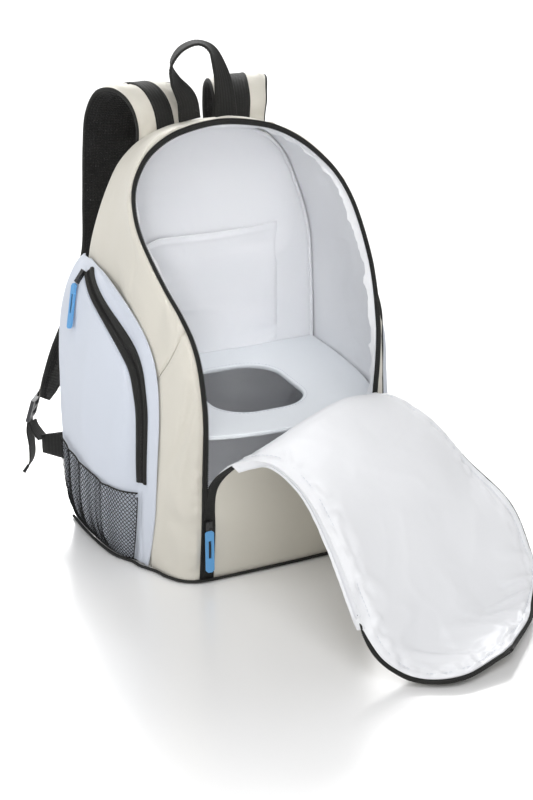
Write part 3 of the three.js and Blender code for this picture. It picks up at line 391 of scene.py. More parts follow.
    def flap(self, a: Array, b: Array) -> Array:
        """The flap's outer face by shares of its length and of its width."""
        along = np.asarray(a, float) * self.flap_reach
        return self.flap_point(along, (self.half_at(along) - self.clearance) * (1 - 2 * np.asarray(b)))

    def pocket(self, along: Array, across: Array) -> Array:
        """A side pocket's outer face: along the half arch, and from its front seam back."""
        along, across = np.broadcast_arrays(np.asarray(along, float), np.asarray(across, float))
        front = column(self.pocket_along, self.pocket_front, along)
        stand = column(self.pocket_along, self.pocket_share, along) * self.pocket_stand
        rise = column(self.profile_across, self.profile_rise, across)
        u, t = along / 2, mix(front, 1.0, across)
        lift = self.pocket_lift + np.maximum(stand * rise, 0)
        return self.gusset(u, t) + normal_of(self.gusset, u, t) * spread(lift)

    def on_pocket(self, a: Array, b: Array) -> Array:
        """A side pocket's outer face by shares of its height and width."""
        return self.pocket(mix(self.pocket_along[0], self.pocket_along[-1], np.asarray(a)), b)


# Meshes


def grid_faces(rows: int, columns: int, start: int = 0, loop: bool = False) -> Array:
    """Quads of a grid of points, row after row; loop joins its last column to its first."""
    i, j = np.meshgrid(np.arange(rows - 1), np.arange(columns if loop else columns - 1), indexing="ij")
    k = (j + 1) % columns
    faces = np.stack([i * columns + j, i * columns + k, (i + 1) * columns + k, (i + 1) * columns + j], -1)
    return faces.reshape(-1, 4) + start


def run_lengths(grid: Array, axis: int) -> Array:
    """Distance walked along one axis of a grid of points, from its middle line."""
    step = np.linalg.norm(np.diff(grid, axis=axis), axis=-1)
    pad = [(0, 0), (0, 0)]
    pad[axis] = (1, 0)
    run = np.cumsum(np.pad(step, pad), axis=axis)
    return run - np.take(run, [run.shape[axis] // 2], axis=axis)


def cloth_lengths(grid: Array) -> Array:
    """Places of a grid of points as lengths along its rows and columns."""
    return np.stack([run_lengths(grid, 1), run_lengths(grid, 0)], axis=-1)


def shade(mesh: bpy.types.Mesh, sharp: float) -> None:
    """Shades a mesh smooth, apart from edges that bend more than so many degrees."""
    mesh.polygons.foreach_set("use_smooth", np.ones(len(mesh.polygons), bool))
    mesh.set_sharp_from_angle(angle=math.radians(sharp))


def make_mesh(name: str, points: Array, faces: list | Array, flat: Array, finishes: list["Finish"],
              pick: Array | None = None, sharp: float = 50.0) -> bpy.types.Object:
    """Makes a smooth-shaded mesh object from millimetre points.

    Args:
        name: the piece's name.
        points: its points, in millimetres.
        faces: lists of point numbers.
        flat: each point's place on the flat cloth, in millimetres, for weaves and ribs.
        finishes: the finishes that its faces choose from.
        pick: the finish number of each face.
        sharp: edges that bend more than this many degrees stay crisp.

    Returns:
        The object, in metres.
    """
    mesh = bpy.data.meshes.new(name)
    mesh.from_pydata((np.asarray(points).reshape(-1, 3) * MM).tolist(), [], np.asarray(faces).tolist()
                     if isinstance(faces, np.ndarray) else faces)
    mesh.update()
    layer = mesh.uv_layers.new(name="cloth")
    corners = np.empty(len(mesh.loops), int)
    mesh.loops.foreach_get("vertex_index", corners)
    layer.data.foreach_set("uv", (np.asarray(flat).reshape(-1, 2)[corners] * MM).ravel())
    for finish in finishes:
        mesh.materials.append(finish.material())
    if pick is not None:
        mesh.polygons.foreach_set("material_index", np.asarray(pick, np.int32))
    shade(mesh, sharp)
    piece = bpy.data.objects.new(name, mesh)
    bpy.context.scene.collection.objects.link(piece)
    return piece


def read_points(mesh: bpy.types.Mesh, what: str = "co") -> Array:
    """A mesh's points, or with "normal" its normals, as rows of three numbers."""
    numbers = np.empty(len(mesh.vertices) * 3)
    mesh.vertices.foreach_get(what, numbers)
    return numbers.reshape(-1, 3)


def slab(outer: Array, inner: Array) -> tuple[Array, Array, Array]:
    """A closed sheet between two grids, with rounded cut edges.

    Args:
        outer: the face that is seen, as rows of points.
        inner: the face behind it, in the same rows.

    Returns:
        Points, faces and flat places.
    """
    rows, columns = outer.shape[:2]
    n = rows * columns
    flat = cloth_lengths(outer)
    line = lambda i, j: i * columns + j
    ring = np.concatenate([[line(0, j) for j in range(columns)],
                           [line(i, columns - 1) for i in range(1, rows)],
                           [line(rows - 1, j) for j in range(columns - 2, -1, -1)],
                           [line(i, 0) for i in range(rows - 2, 0, -1)]]).astype(int)
    inside = np.concatenate([[line(1, j) for j in range(columns)],
                             [line(i, columns - 2) for i in range(1, rows)],
                             [line(rows - 2, j) for j in range(columns - 2, -1, -1)],
                             [line(i, 1) for i in range(rows - 2, 0, -1)]]).astype(int)
    top, under = outer.reshape(-1, 3), inner.reshape(-1, 3)
    wall = np.linalg.norm(top[ring] - under[ring], axis=-1, keepdims=True)
    edge = (top[ring] + under[ring]) / 2 + unit(top[ring] - top[inside]) * wall * 0.3
    points = np.vstack([top, under, edge])
    face = grid_faces(rows, columns)
    count = len(ring)
    k = np.arange(count)
    nxt = (k + 1) % count
    rim = np.stack([ring[nxt], ring[k], 2 * n + k, 2 * n + nxt], -1)
    rim2 = np.stack([2 * n + nxt, 2 * n + k, n + ring[k], n + ring[nxt]], -1)
    faces = np.vstack([face, face[:, ::-1] + n, rim, rim2])
    a, b, c = (points[faces[:, i]] for i in (0, 1, 2))
    d = points[faces[:, 3]]
    volume = np.sum(np.cross(b - a, c - a) * a) + np.sum(np.cross(c - a, d - a) * a)
    if volume < 0:
        faces = faces[:, ::-1]
    spot = flat.reshape(-1, 2)
    return points, faces, np.vstack([spot, spot, spot[ring]])


def tube(path: Array, section: Array, sides: Array, ups: Array, capped: bool = True,
         size: Array | None = None) -> tuple[Array, list, Array]:
    """Carries a closed section along a path.

    Args:
        path: points of the path.
        section: (across, up) points of the section, in turn round it.
        sides: the across direction at each point of the path.
        ups: the up direction at each point of the path.
        capped: whether both ends are closed.
        size: how much the section is scaled at each point, as (across, up).

    Returns:
        Points, faces and flat places.
    """
    n, m = len(path), len(section)
    scale = np.ones((n, 2)) if size is None else np.asarray(size, float).reshape(n, 2)
    a = section[None, :, 0] * scale[:, :1]
    b = section[None, :, 1] * scale[:, 1:]
    points = path[:, None] + a[..., None] * sides[:, None] + b[..., None] * ups[:, None]
    faces = grid_faces(n, m, loop=True).tolist()
    if capped:
        faces += [list(range(m))[::-1], list(range((n - 1) * m, n * m))]
    run = walked(path)
    flat = np.stack(np.broadcast_arrays(a, run[:, None]), axis=-1)
    first = faces[0]
    p, centre = points.reshape(-1, 3), path[0]
    facing = np.cross(p[first[1]] - p[first[0]], p[first[2]] - p[first[0]])
    if np.dot(facing, p[first[0]] - centre) < 0:
        faces = [f[::-1] for f in faces]
    return points.reshape(-1, 3), faces, flat.reshape(-1, 2)


def round_section(radius: float, count: int = 8) -> Array:
    """A round section."""
    turn = np.arange(count) * 2 * math.pi / count
    return np.stack([np.cos(turn), np.sin(turn)], axis=-1) * radius


def band_section(width: float, thickness: float, columns: int = 8) -> Array:
    """A flat band's section with softly rounded edges."""
    x = np.linspace(-1, 1, columns + 1) * (width - thickness) / 2
    h = thickness / 2
    top = np.stack([x, np.full_like(x, h)], -1)
    right = [[width / 2 - h * 0.25, h * 0.55], [width / 2, 0], [width / 2 - h * 0.25, -h * 0.55]]
    left = [[-a, -b] for a, b in right]
    return np.vstack([top, right, top[::-1] * (1, -1), left])


def join_parts(parts: list[tuple]) -> tuple[Array, list, Array]:
    """Joins many points-faces-places sets into one."""
    points, faces, flats, start = [], [], [], 0
    for p, f, q in parts:
        points.append(p)
        faces += [[v + start for v in face] for face in (f.tolist() if isinstance(f, np.ndarray) else f)]
        flats.append(q)
        start += len(p)
    return np.vstack(points), faces, np.vstack(flats)


def many(shape: tuple[Array, Array], at: Array, x: Array, y: Array, z: Array) -> tuple:
    """The same small form set down at many places.

    Args:
        shape: points and faces of the form.
        at: its places.
        x: its first direction at each place.
        y: its second direction.
        z: its third direction.

    Returns:
        Points, faces and flat places of them all.
    """
    p, f = shape
    points = (at[:, None] + p[None, :, :1] * x[:, None] + p[None, :, 1:2] * y[:, None]
              + p[None, :, 2:] * z[:, None])
    faces = (f[None] + (np.arange(len(at)) * len(p))[:, None, None]).reshape(-1, f.shape[1])
    return points.reshape(-1, 3), faces, points.reshape(-1, 3)[:, :2]


def pill(length: float, width: float, height: float) -> tuple[Array, Array]:
    """A small rounded bar along its first direction, as one stitch or one zip tooth."""
    rings = ((-0.5, 0.45), (-0.3, 1.0), (0.3, 1.0), (0.5, 0.45))
    turn = np.arange(6) * math.pi / 3
    points = np.array([[s * length, math.cos(t) * width / 2 * r, math.sin(t) * height / 2 * r]
                       for s, r in rings for t in turn])
    quads = grid_faces(4, 6, loop=True)
    caps = np.array([[0, 3, 2, 1], [0, 5, 4, 3], [18, 19, 20, 21], [18, 21, 22, 23]])
    return points, np.vstack([quads, caps])


# Finishes: what each part is made of


def linear(code: str) -> tuple[float, float, float, float]:
    """An sRGB hex colour as linear numbers."""
    parts = [int(code[i:i + 2], 16) / 255 for i in (1, 3, 5)]
    light = [c / 12.92 if c <= 0.04045 else ((c + 0.055) / 1.055) ** 2.4 for c in parts]
    return (*light, 1.0)


def put_node(tree: bpy.types.NodeTree, kind: str, links: dict | None = None,
             **settings: object) -> bpy.types.Node:
    """Adds a node with its settings and links.

    Args:
        tree: the material's node tree.
        kind: Blender's name of the node.
        links: each socket's feed, either another node's output or a plain value.
        settings: the node's own settings.

    Returns:
        The node.
    """
    node = tree.nodes.new(kind)
    for key, value in settings.items():
        setattr(node, key, value)
    for socket, feed in (links or {}).items():
        if isinstance(feed, bpy.types.NodeSocket):
            tree.links.new(feed, node.inputs[socket])
        else:
            node.inputs[socket].default_value = feed
    return node


class Weave(Enum):
    """How the threads of a cloth run."""

    PLAIN = "plain"
    RIBBED = "ribbed"
    TWILL = "twill"
    NONE = "none"


@dataclass(frozen=True)
class Finish:
    """A surface finish: colour, gloss and the relief that shows at arm's length."""

    name: str
    light: str
    dark: str
    roughness: float = 0.7
    ior: float = 1.5
    sheen: float = 0.0
    coat: float = 0.0
    weave: Weave = Weave.NONE
    thread: float = 1.2
    relief: float = 0.12
    cloud: float = 60.0
    crumple: float = 0.0
    crumple_size: float = 14.0
    rough_spread: float = 0.06

    def material(self) -> bpy.types.Material:
        """The finish as a material, made once."""
        return bpy.data.materials.get(self.name) or self._make()

    def _make(self) -> bpy.types.Material:
        """Builds the material's nodes."""
        made = bpy.data.materials.new(self.name)
        made.use_nodes = True
        tree = made.node_tree
        tree.nodes.clear()
        where = put_node(tree, "ShaderNodeTexCoord")
        place = where.outputs["Object"]
        cloud = put_node(tree, "ShaderNodeTexNoise", {"Vector": place, "Scale": 1 / (self.cloud * MM),
                                                      "Detail": 4.0, "Roughness": 0.6})
        speck = put_node(tree, "ShaderNodeTexNoise", {"Vector": place, "Scale": 1 / (1.6 * MM),
                                                      "Detail": 2.0, "Roughness": 0.7})
        thread = self._threads(tree, put_node(tree, "ShaderNodeUVMap", uv_map="cloth").outputs["UV"])
        tone = put_node(tree, "ShaderNodeMath", {0: cloud.outputs["Fac"], 1: speck.outputs["Fac"]},
                        operation="MULTIPLY")
        tone = put_node(tree, "ShaderNodeMath", {0: tone.outputs[0], 1: thread, 2: 0.12},
                        operation="MULTIPLY_ADD")
        share = put_node(tree, "ShaderNodeMapRange", {"Value": tone.outputs[0], "From Min": 0.12,
                                                      "From Max": 1.0})
        colour = put_node(tree, "ShaderNodeMix", {"Factor": share.outputs["Result"], "A": linear(self.dark),
                                                  "B": linear(self.light)}, data_type="RGBA")
        rough = put_node(tree, "ShaderNodeMapRange", {
            "Value": cloud.outputs["Fac"], "From Min": 0.3, "From Max": 0.7,
            "To Min": self.roughness - self.rough_spread, "To Max": self.roughness + self.rough_spread})
        rise = put_node(tree, "ShaderNodeMath", {0: speck.outputs["Fac"], 1: 0.35, 2: thread},
                        operation="MULTIPLY_ADD")
        bump = put_node(tree, "ShaderNodeBump", {"Height": rise.outputs[0], "Distance": self.relief * MM,
                                                 "Strength": 0.9})
        if self.crumple > 0:
            fold = put_node(tree, "ShaderNodeTexNoise", {
                "Vector": place, "Scale": 1 / (self.crumple_size * MM), "Detail": 3.0,
                "Roughness": 0.55, "Distortion": 0.6}, noise_type="RIDGED_MULTIFRACTAL")
            bump = put_node(tree, "ShaderNodeBump", {"Height": fold.outputs["Fac"],
                                                     "Distance": self.crumple * MM, "Strength": 0.6,
                                                     "Normal": bump.outputs["Normal"]})
        shader = put_node(tree, "ShaderNodeBsdfPrincipled", {
            "Base Color": colour.outputs["Result"], "Roughness": rough.outputs["Result"],
            "Normal": bump.outputs["Normal"], "IOR": self.ior, "Sheen Weight": self.sheen,
            "Sheen Roughness": 0.45, "Coat Weight": self.coat, "Coat Roughness": 0.3})
        put_node(tree, "ShaderNodeOutputMaterial", {"Surface": shader.outputs["BSDF"]})
        return made

    def _threads(self, tree: bpy.types.NodeTree, flat: bpy.types.NodeSocket) -> bpy.types.NodeSocket:
        """Draws the threads from 0 to 1 on the cloth's flat places.

        Args:
            tree: the material's node tree.
            flat: the flat places, in metres.

        Returns:
            The socket that carries the thread height.
        """
        if self.weave is Weave.NONE:
            return put_node(tree, "ShaderNodeValue").outputs[0]
        scale = math.pi / 10 / (self.thread * MM)
        wave = lambda way, size: put_node(
            tree, "ShaderNodeTexWave", {"Vector": flat, "Scale": size, "Distortion": 0.4,
                                        "Detail": 1.0, "Detail Scale": 2.0}, bands_direction=way).outputs["Fac"]
        if self.weave is Weave.RIBBED:
            pair = {0: wave("Y", scale), 1: wave("X", scale * 0.5), 2: 0.0}
            return put_node(tree, "ShaderNodeMath", pair, operation="MULTIPLY_ADD").outputs[0]
        if self.weave is Weave.TWILL:
            return wave("DIAGONAL", scale)
        both = {0: wave("X", scale), 1: wave("Y", scale)}
        return put_node(tree, "ShaderNodeMath", both, operation="MULTIPLY").outputs[0]


# 420-denier nylon, plain woven and coated behind: matt with a faint silky sheen. Its real threads
# are 0.3 mm apart and are drawn 1.1 mm apart so that they show.
CREAM_NYLON = Finish("woven_nylon_cream", "#e0ddd4", "#d2cec3", 0.62, sheen=0.18, weave=Weave.PLAIN,
                     thread=1.1, relief=0.1, crumple=0.5, crumple_size=22)
# The same cloth, dyed pale blue, in the side pockets.
PALE_BLUE_NYLON = Finish("woven_nylon_pale_blue", "#dbe0e8", "#cbd1dc", 0.6, sheen=0.2,
                         weave=Weave.PLAIN, thread=1.1, relief=0.1, crumple=0.4, crumple_size=24)
# PEVA film welded to thin foam: smooth, a little glossy, with small crush marks.
WHITE_PEVA = Finish("calendered_peva_white", "#f5f5f6", "#ecedf0", 0.38, ior=1.49, coat=0.08,
                    relief=0.03, crumple=0.4, crumple_size=20, cloud=40)
# The shelf's cover is the same film drawn tight over board.
SHELF_PEVA = Finish("calendered_peva_shelf", "#f4f7fa", "#ecf0f4", 0.42, ior=1.49, relief=0.03,
                    crumple=0.35, crumple_size=20, cloud=50)
# Polypropylene webbing: dull black with ribs across it every 1.5 mm, as the real one has.
BLACK_WEBBING = Finish("woven_polypropylene_webbing", "#2b2b28", "#141412", 0.8, sheen=0.06,
                       weave=Weave.RIBBED, thread=1.6, relief=0.35, cloud=30)
# Polyester zip tape and binding: fine twill, drawn 1.2 mm apart.
ZIP_TAPE = Finish("twill_polyester_tape", "#23231f", "#10100e", 0.75, sheen=0.03,
                  weave=Weave.TWILL, thread=1.2, relief=0.15, cloud=30)
# Moulded nylon zip teeth: satin black.
ZIP_TEETH = Finish("moulded_nylon_teeth", "#20201e", "#121211", 0.4, relief=0.02)
# Knitted polyester yarn of the nets and of the straps' lining.
NET_YARN = Finish("knitted_polyester_yarn", "#20201f", "#101010", 0.75, relief=0.05)
SPACER_KNIT = Finish("spacer_knit_black", "#20201f", "#0e0e0e", 0.88, sheen=0.06,
                     weave=Weave.PLAIN, thread=3.2, relief=0.7)
# Moulded acetal: satin dark grey with a fine spark-eroded grain.
GREY_ACETAL = Finish("moulded_acetal_grey", "#4a4b4d", "#38393b", 0.42, ior=1.48, relief=0.04, cloud=12)
# Die-cast zinc slider under black enamel.
BLACK_ENAMEL = Finish("enamelled_zinc_black", "#2b2b2c", "#1d1d1e", 0.28, relief=0.02, coat=0.4, cloud=8)
# Soft PVC pull: moulded blue rubber, satin, and its black inlay.
BLUE_PVC = Finish("moulded_soft_pvc_blue", "#74b4e6", "#5d9fd6", 0.45, ior=1.52, relief=0.04, cloud=10)
BLACK_PVC = Finish("moulded_soft_pvc_black", "#20262c", "#14181c", 0.5, ior=1.52, relief=0.04, cloud=10)
# Spun polyester sewing thread.
CREAM_THREAD = Finish("spun_thread_cream", "#e9e5da", "#d3cdbf", 0.75, relief=0.05)
BLUE_THREAD = Finish("spun_thread_pale_blue", "#dbe2ec", "#c4ccd9", 0.75, relief=0.05)
WHITE_THREAD = Finish("spun_thread_white", "#eceef2", "#d5d9e0", 0.7, relief=0.05)
BLACK_THREAD = Finish("spun_thread_black", "#3a3a38", "#242422", 0.75, relief=0.05)
# Painted board of the studio floor.
PALE_FLOOR = Finish("painted_board_floor", "#f8f8f8", "#f4f4f4", 0.24, ior=1.8, relief=0.0,
                    cloud=900, rough_spread=0.02)


def dress(piece: bpy.types.Object, slot: str, *nodes: str) -> bpy.types.Object:
    """Keeps a piece above the floor, hands it to the frame and reports it.

    Args:
        piece: the piece.
        slot: the record's material slot; not used.
        nodes: the solids that it stands for.

    Returns:
        The piece.
    """
    piece.data.vertices.foreach_set("co", above(read_points(piece.data), 0.0).ravel())
    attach(piece, "root")
    if nodes:
        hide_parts(*nodes)
    log.info("%s: %d faces, for %s", piece.name, len(piece.data.polygons), ", ".join(nodes) or "detail")
    return piece


def lay(name: str, parts: tuple, finish: Finish, slot: str, *nodes: str) -> bpy.types.Object:
    """Makes a piece of one finish and dresses it."""
    return dress(make_mesh(name, *parts, [finish]), slot, *nodes)


def stitches(name: str, line: Array, normals: Array, finish: Finish, slot: str, pitch: float = 4.0,
             thread: float = 0.7) -> bpy.types.Object:
    """A row of lockstitches that lie along a line on a surface.

    Args:
        name: the piece's name.
        line: points along the seam, in millimetres.
        normals: the surface's outward direction at each point.
        finish: the thread.
        slot: the record's material slot; passed on, but not used.
        pitch: length from one stitch to the next.
        thread: the thread's thickness.

    Returns:
        The row as one piece.
    """
    run = walked(line)
    spots = np.arange(pitch / 2, run[-1], pitch)
    at, up = read_rows(spots, run, line), unit(read_rows(spots, run, normals))
    way = unit(read_rows(spots + 1.0, run, line) - read_rows(spots - 1.0, run, line))
    side = unit(np.cross(up, way))
    parts = many(pill(pitch * 0.72, thread, thread * 0.8), at + up * thread * 0.15, way, side, up)
    return lay(name, parts, finish, slot)


# The scene round the object


@dataclass(frozen=True)
class Studio:
    """Plain pale floor, soft lights and the camera at the photograph's angle."""

    eye: tuple[float, float, float] = (-0.5853, -1.3103, 0.7545)
    target: tuple[float, float, float] = (0.031, 0.0105, 0.136)
    lens: float = 65.8
    sensor: float = 36.0
    floor_radius: float = 9.0
    world: str = "#ffffff"
    world_strength: float = 0.4

    def build_camera(self) -> None:
        """Sets up the camera."""
        data = bpy.data.cameras.new("camera")
        data.lens, data.sensor_width, data.sensor_fit = self.lens, self.sensor, "AUTO"
        camera = bpy.data.objects.new("camera", data)
        bpy.context.scene.collection.objects.link(camera)
        camera.location = self.eye
        look = Vector(self.target) - Vector(self.eye)
        camera.rotation_euler = look.to_track_quat("-Z", "Y").to_euler()
        bpy.context.scene.camera = camera

    def build(self) -> None:
        """Makes the floor, the lights and the pale surroundings."""
        turn = np.linspace(0, 2 * math.pi, 96, endpoint=False)
        ring = np.stack([np.cos(turn), np.sin(turn), np.full_like(turn, -0.0003)], -1)
        ring[:, :2] *= self.floor_radius
        floor = make_mesh("studio_floor", ring / MM, [list(range(96))], ring[:, :2] / MM, [PALE_FLOOR])
        self._lamp("key", (-1.3, -1.7, 2.4), (0, -0.05, 0.15), 1.5, 20)
        self._lamp("above", (0, -1.3, 2.6), (0, 0, 0.1), 1.5, 17)
        self._lamp("front", (0.2, -2.8, 0.8), (0, 0, 0.2), 1.5, 11)
        self._lamp("side", (-2.6, 0.4, 0.9), (-0.1, 0.0, 0.2), 1.2, 17)
        self._lamp("inside", (-0.95, -1.9, 0.95), (0.03, 0.05, 0.33), 0.3, 0.08, 14)
        self._lamp("behind", (0.5, 2.5, 2.5), (0, 0, 0.2), 1.5, 36)
        self._lamp("backdrop", (2.0, 6.0, 3.5), (2.0, 5.5, 0), 4.0, 480)
        world = bpy.data.worlds.new("studio")
        world.use_nodes = True
        back = world.node_tree.nodes["Background"]
        back.inputs["Color"].default_value = linear(self.world)
        back.inputs["Strength"].default_value = self.world_strength
        bpy.context.scene.world = world
        bpy.context.scene.view_settings.view_transform = "Standard"

    def _lamp(self, name: str, at: tuple, aim: tuple, size: float, power: float, beam: float = 180) -> None:
        """Hangs one soft square lamp.

        Args:
            name: its name.
            at: where it is.
            aim: what it points at.
            size: its side, in metres.
            power: its power, in watts.
            beam: how wide its light spreads, in degrees.
        """
        data = bpy.data.lights.new(name, "AREA")
        data.size, data.energy, data.spread = size, power, math.radians(beam)
        lamp = bpy.data.objects.new(name, data)
        lamp.location = at
        lamp.rotation_euler = (Vector(aim) - Vector(at)).to_track_quat("-Z", "Y").to_euler()
        bpy.context.scene.collection.objects.link(lamp)


# The sub-assemblies


@dataclass(frozen=True)
class Shell:
    """The sewn outer body: the arch, the two lower side panels, back, base and piping."""

    form: BagForm
    across: int = 64
    arch_rows: int = 250
    side_rows: int = 110
    seam_front: float = 0.247
    seam_back: float = 0.155
    seam_gap: float = 0.0006
    seam_dip: float = 1.1
    roll: float = 2.0
    front_reach: float = 170.0
    back_reach: float = 190.0
    stitch_inset: float = 3.2
    piping_radius: float = 1.6
    folds: tuple[Fold, ...] = (
        Fold((0.86, 0.02), (0.52, 0.3), 8, -2.6), Fold((0.8, 0.04), (0.44, 0.2), 7, 1.8),
        Fold((0.62, 0.2), (0.36, 0.05), 8, -2.4), Fold((0.5, 0.3), (0.26, 0.14), 10, 2.2),
        Fold((0.34, 0.3), (0.2, 0.04), 9, -2.4), Fold((0.2, 0.34), (0.04, 0.2), 10, -2.0),
        Fold((0.16, 0.1), (0.02, 0.04), 8, 1.6))

    def seam(self, t: Array) -> Array:
        """The place along the arch where the side seam runs at a share across."""
        return np.maximum(self.seam_front - 0.07 * np.asarray(t) - 0.115 * np.asarray(t) ** 2, self.seam_back)

    def panel(self, u0: Callable, u1: Callable, rows: int, seed: int, folds: tuple[Fold, ...]) -> tuple:
        """One cloth panel of the gusset between two lines across it.

        Args:
            u0: its first edge along the arch, by share across.
            u1: its last edge.
            rows: rows of points.
            seed: picks its relief.
            folds: folds pressed into it.

        Returns:
            Points, faces and flat places.
        """
        form = self.form
        s, w = share_grid(rows, self.across)
        u = mix(u0(w), u1(w), s)
        start = (form.tape_at(u) + form.tape_gap) / form.across_length(u)
        t = mix(start, 1.0, w)
        u = mix(u0(t), u1(t), s)
        face, out = faced(form.gusset, u, t)
        size = (float(np.ptp(run_lengths(face, 0)[:, self.across // 2])), self.back_reach)
        lift = sum((f.lift(s, w, size) for f in folds), np.zeros_like(s))
        lift = lift + grain(face, 58, seed, (1, 1, 2.0)) * 2.4 + grain(face, 24, seed + 1, (1, 1.4, 1.8)) * 0.8
        lift = lift - creases(face, 44, seed + 5, (1, 1, 2.2)) * 0.9
        near = w * self.front_reach
        edge = np.minimum(np.minimum(near, (1 - w) * self.back_reach), np.minimum(s, 1 - s) * size[0])
        lift = lift * smooth(edge / 22) - self.seam_dip * np.exp(-(edge / 3.0) ** 2)
        lift = lift + grain(face, 13, seed + 2, (1, 1, 0.8)) * 2.4 * np.exp(-((near - 8) / 8) ** 2)
        lift = lift + self.roll * smooth(near / 9) * (1 - smooth((near - 20) / 34)) * smooth(-face[..., 0] / 60)
        lift[:, 0] = 0
        outer = face + out * spread(lift)
        return slab(above(outer, 0.2), above(face - out * form.wall, 0.1))

    def build(self) -> None:
        """Makes the body's outer pieces."""
        gap = self.seam_gap
        arch = self.panel(lambda t: self.seam(t) + gap, lambda t: 1 - self.seam(t) - gap,
                          self.arch_rows, 1, ())
        lay("body_arch", arch, CREAM_NYLON, "cream_nylon", "gusset_arch")
        left = self.panel(lambda t: 0 * t, lambda t: self.seam(t) - gap, self.side_rows, 2, self.folds)
        lay("body_side_left", left, CREAM_NYLON, "cream_nylon", "side_panel_left")
        right = self.panel(lambda t: 1 - self.seam(t) + gap, lambda t: 0 * t + 1, self.side_rows, 3,
                           tuple(Fold((1 - f.start[0], f.start[1]), (1 - f.end[0], f.end[1]), f.width,
                                      f.height) for f in self.folds))
        lay("body_side_right", right, CREAM_NYLON, "cream_nylon", "side_panel_right")
        self.build_seams()
        self.build_flat_panels()
        self.build_piping()

    def build_seams(self) -> None:
        """Sews the rows of thread beside the zip and along the side seams."""
        form = self.form
        u = np.linspace(0.003, 0.997, 900)
        t = (form.tape_at(u) + form.tape_gap + self.stitch_inset) / form.across_length(u)
        line, out = faced(form.gusset, u, t)
        stitches("zip_edge_stitches", line - out * 0.1, out, CREAM_THREAD, "cream_nylon")
        for side, name in ((0, "left"), (1, "right")):
            t = np.linspace(0.08, 0.985, 200)
            u = self.seam(t) + 0.0035
            u = u if side == 0 else 1 - u
            line, out = faced(form.gusset, u, t)
            stitches(f"side_seam_stitches_{name}", line - out * 0.4, out, CREAM_THREAD, "cream_nylon")

    def build_flat_panels(self) -> None:
        """Makes the back and the base from the solids' own outlines."""
        puffed("body_back", "back_panel", CREAM_NYLON, "cream_nylon", 5, 2.2)
        puffed("body_base", "base_panel", CREAM_NYLON, "cream_nylon")

    def build_piping(self) -> None:
        """Runs the black cord piping round the foot of the bag."""
        form = self.form
        out = 1.5 + form.clearance * 4
        foot = form.pocket_along[0]
        front = float(column(form.pocket_along, form.pocket_front, foot))
        points = []
        for across in (.9, .75, .6, .45, .3, .15, .05):
            surface = lambda v, w: form.pocket(v * 0.6, w)
            points.append(form.pocket(foot, across) + normal_of(surface, foot / 0.6, across) * (out + 2.0))
        for t in (front - .07, front - .14, .2, .1, .02):
            points.append(form.gusset(0, t) + normal_of(form.gusset, 0, t) * out)
        left = np.array(points)
        left[:, 2] = 2.3
        path = Curve(np.vstack([left, left[::-1] * (-1, 1, 1)]))
        u = np.linspace(0, 1, 420)
        at, way = path.at(u), path.tangent(u)
        side = unit(np.cross(UP, way))
        at = at + UP * spread(grain(at, 30, 4) * 0.2)
        lay("foot_piping", tube(at, round_section(self.piping_radius, 10), side, np.cross(way, side)), ZIP_TAPE,
            "black_tape", "base_piping")


def open_solid(name: str, node: str, finish: Finish) -> tuple[bpy.types.Object, bmesh.types.BMesh]:
    """Copies a solid in a finish and opens the copy's mesh, with its flat faces whole.

    Args:
        name: the copy's name.
        node: the solid.
        finish: what the copy is made of.

    Returns:
        The copy, and its mesh for cutting.
    """
    piece = bpy.data.objects.new(name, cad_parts[node].data.copy())
    bpy.context.scene.collection.objects.link(piece)
    mesh = piece.data
    mesh.materials.clear()
    mesh.materials.append(finish.material())
    layer = mesh.uv_layers[0] if mesh.uv_layers else mesh.uv_layers.new(name="cloth")
    layer.name = "cloth"
    work = bmesh.new()
    work.from_mesh(mesh)
    bmesh.ops.remove_doubles(work, verts=work.verts, dist=1e-5)
    bmesh.ops.dissolve_limit(work, angle_limit=0.02, verts=work.verts, edges=work.edges)
    return piece, work


def puffed(name: str, node: str, finish: Finish, slot: str, seed: int = 0,
           rise: float = 0.0) -> bpy.types.Object:
    """Turns a flat solid into a sewn panel, cut fine and softly crowned, and dresses it.

    Args:
        name: the new piece's name.
        node: the solid that its shape comes from.
        finish: its cloth.
        slot: the record's material slot; passed on, but not used.
        seed: picks its relief.
        rise: how far its middle stands proud, in millimetres.

    Returns:
        The piece.
    """
    piece, work = open_solid(name, node, finish)
    mesh = piece.data
    bmesh.ops.triangulate(work, faces=work.faces)
    for _ in range(7):
        long = [e for e in work.edges if e.calc_length() > 0.011]
        if not long:
            break
        bmesh.ops.subdivide_edges(work, edges=long, cuts=1)
        bmesh.ops.triangulate(work, faces=[f for f in work.faces if len(f.verts) > 3])
    work.to_mesh(mesh)
    work.free()
    points, normals = read_points(mesh) / MM, read_points(mesh, "normal")
    low, high = points.min(0), points.max(0)
    thin = int(np.argmin(high - low))
    wide = [i for i in range(3) if i != thin]
    share = (points[:, wide] - low[wide]) / (high - low)[wide]
    edge = np.min(np.minimum(share, 1 - share) * (high - low)[wide], axis=1)
    lift = (rise + grain(points, 40, seed) * 0.5 * min(rise, 1.0)) * smooth(edge / 40)
    points = points + normals * spread(lift * (normals[:, thin] > 0.7))
    mesh.vertices.foreach_set("co", (points * MM).ravel())
    corners = np.empty(len(mesh.loops), int)
    mesh.loops.foreach_get("vertex_index", corners)
    mesh.uv_layers["cloth"].data.foreach_set("uv", (points[corners][:, wide] * MM).ravel())
    shade(mesh, 50)
    mesh.update()
    return dress(piece, slot, node)


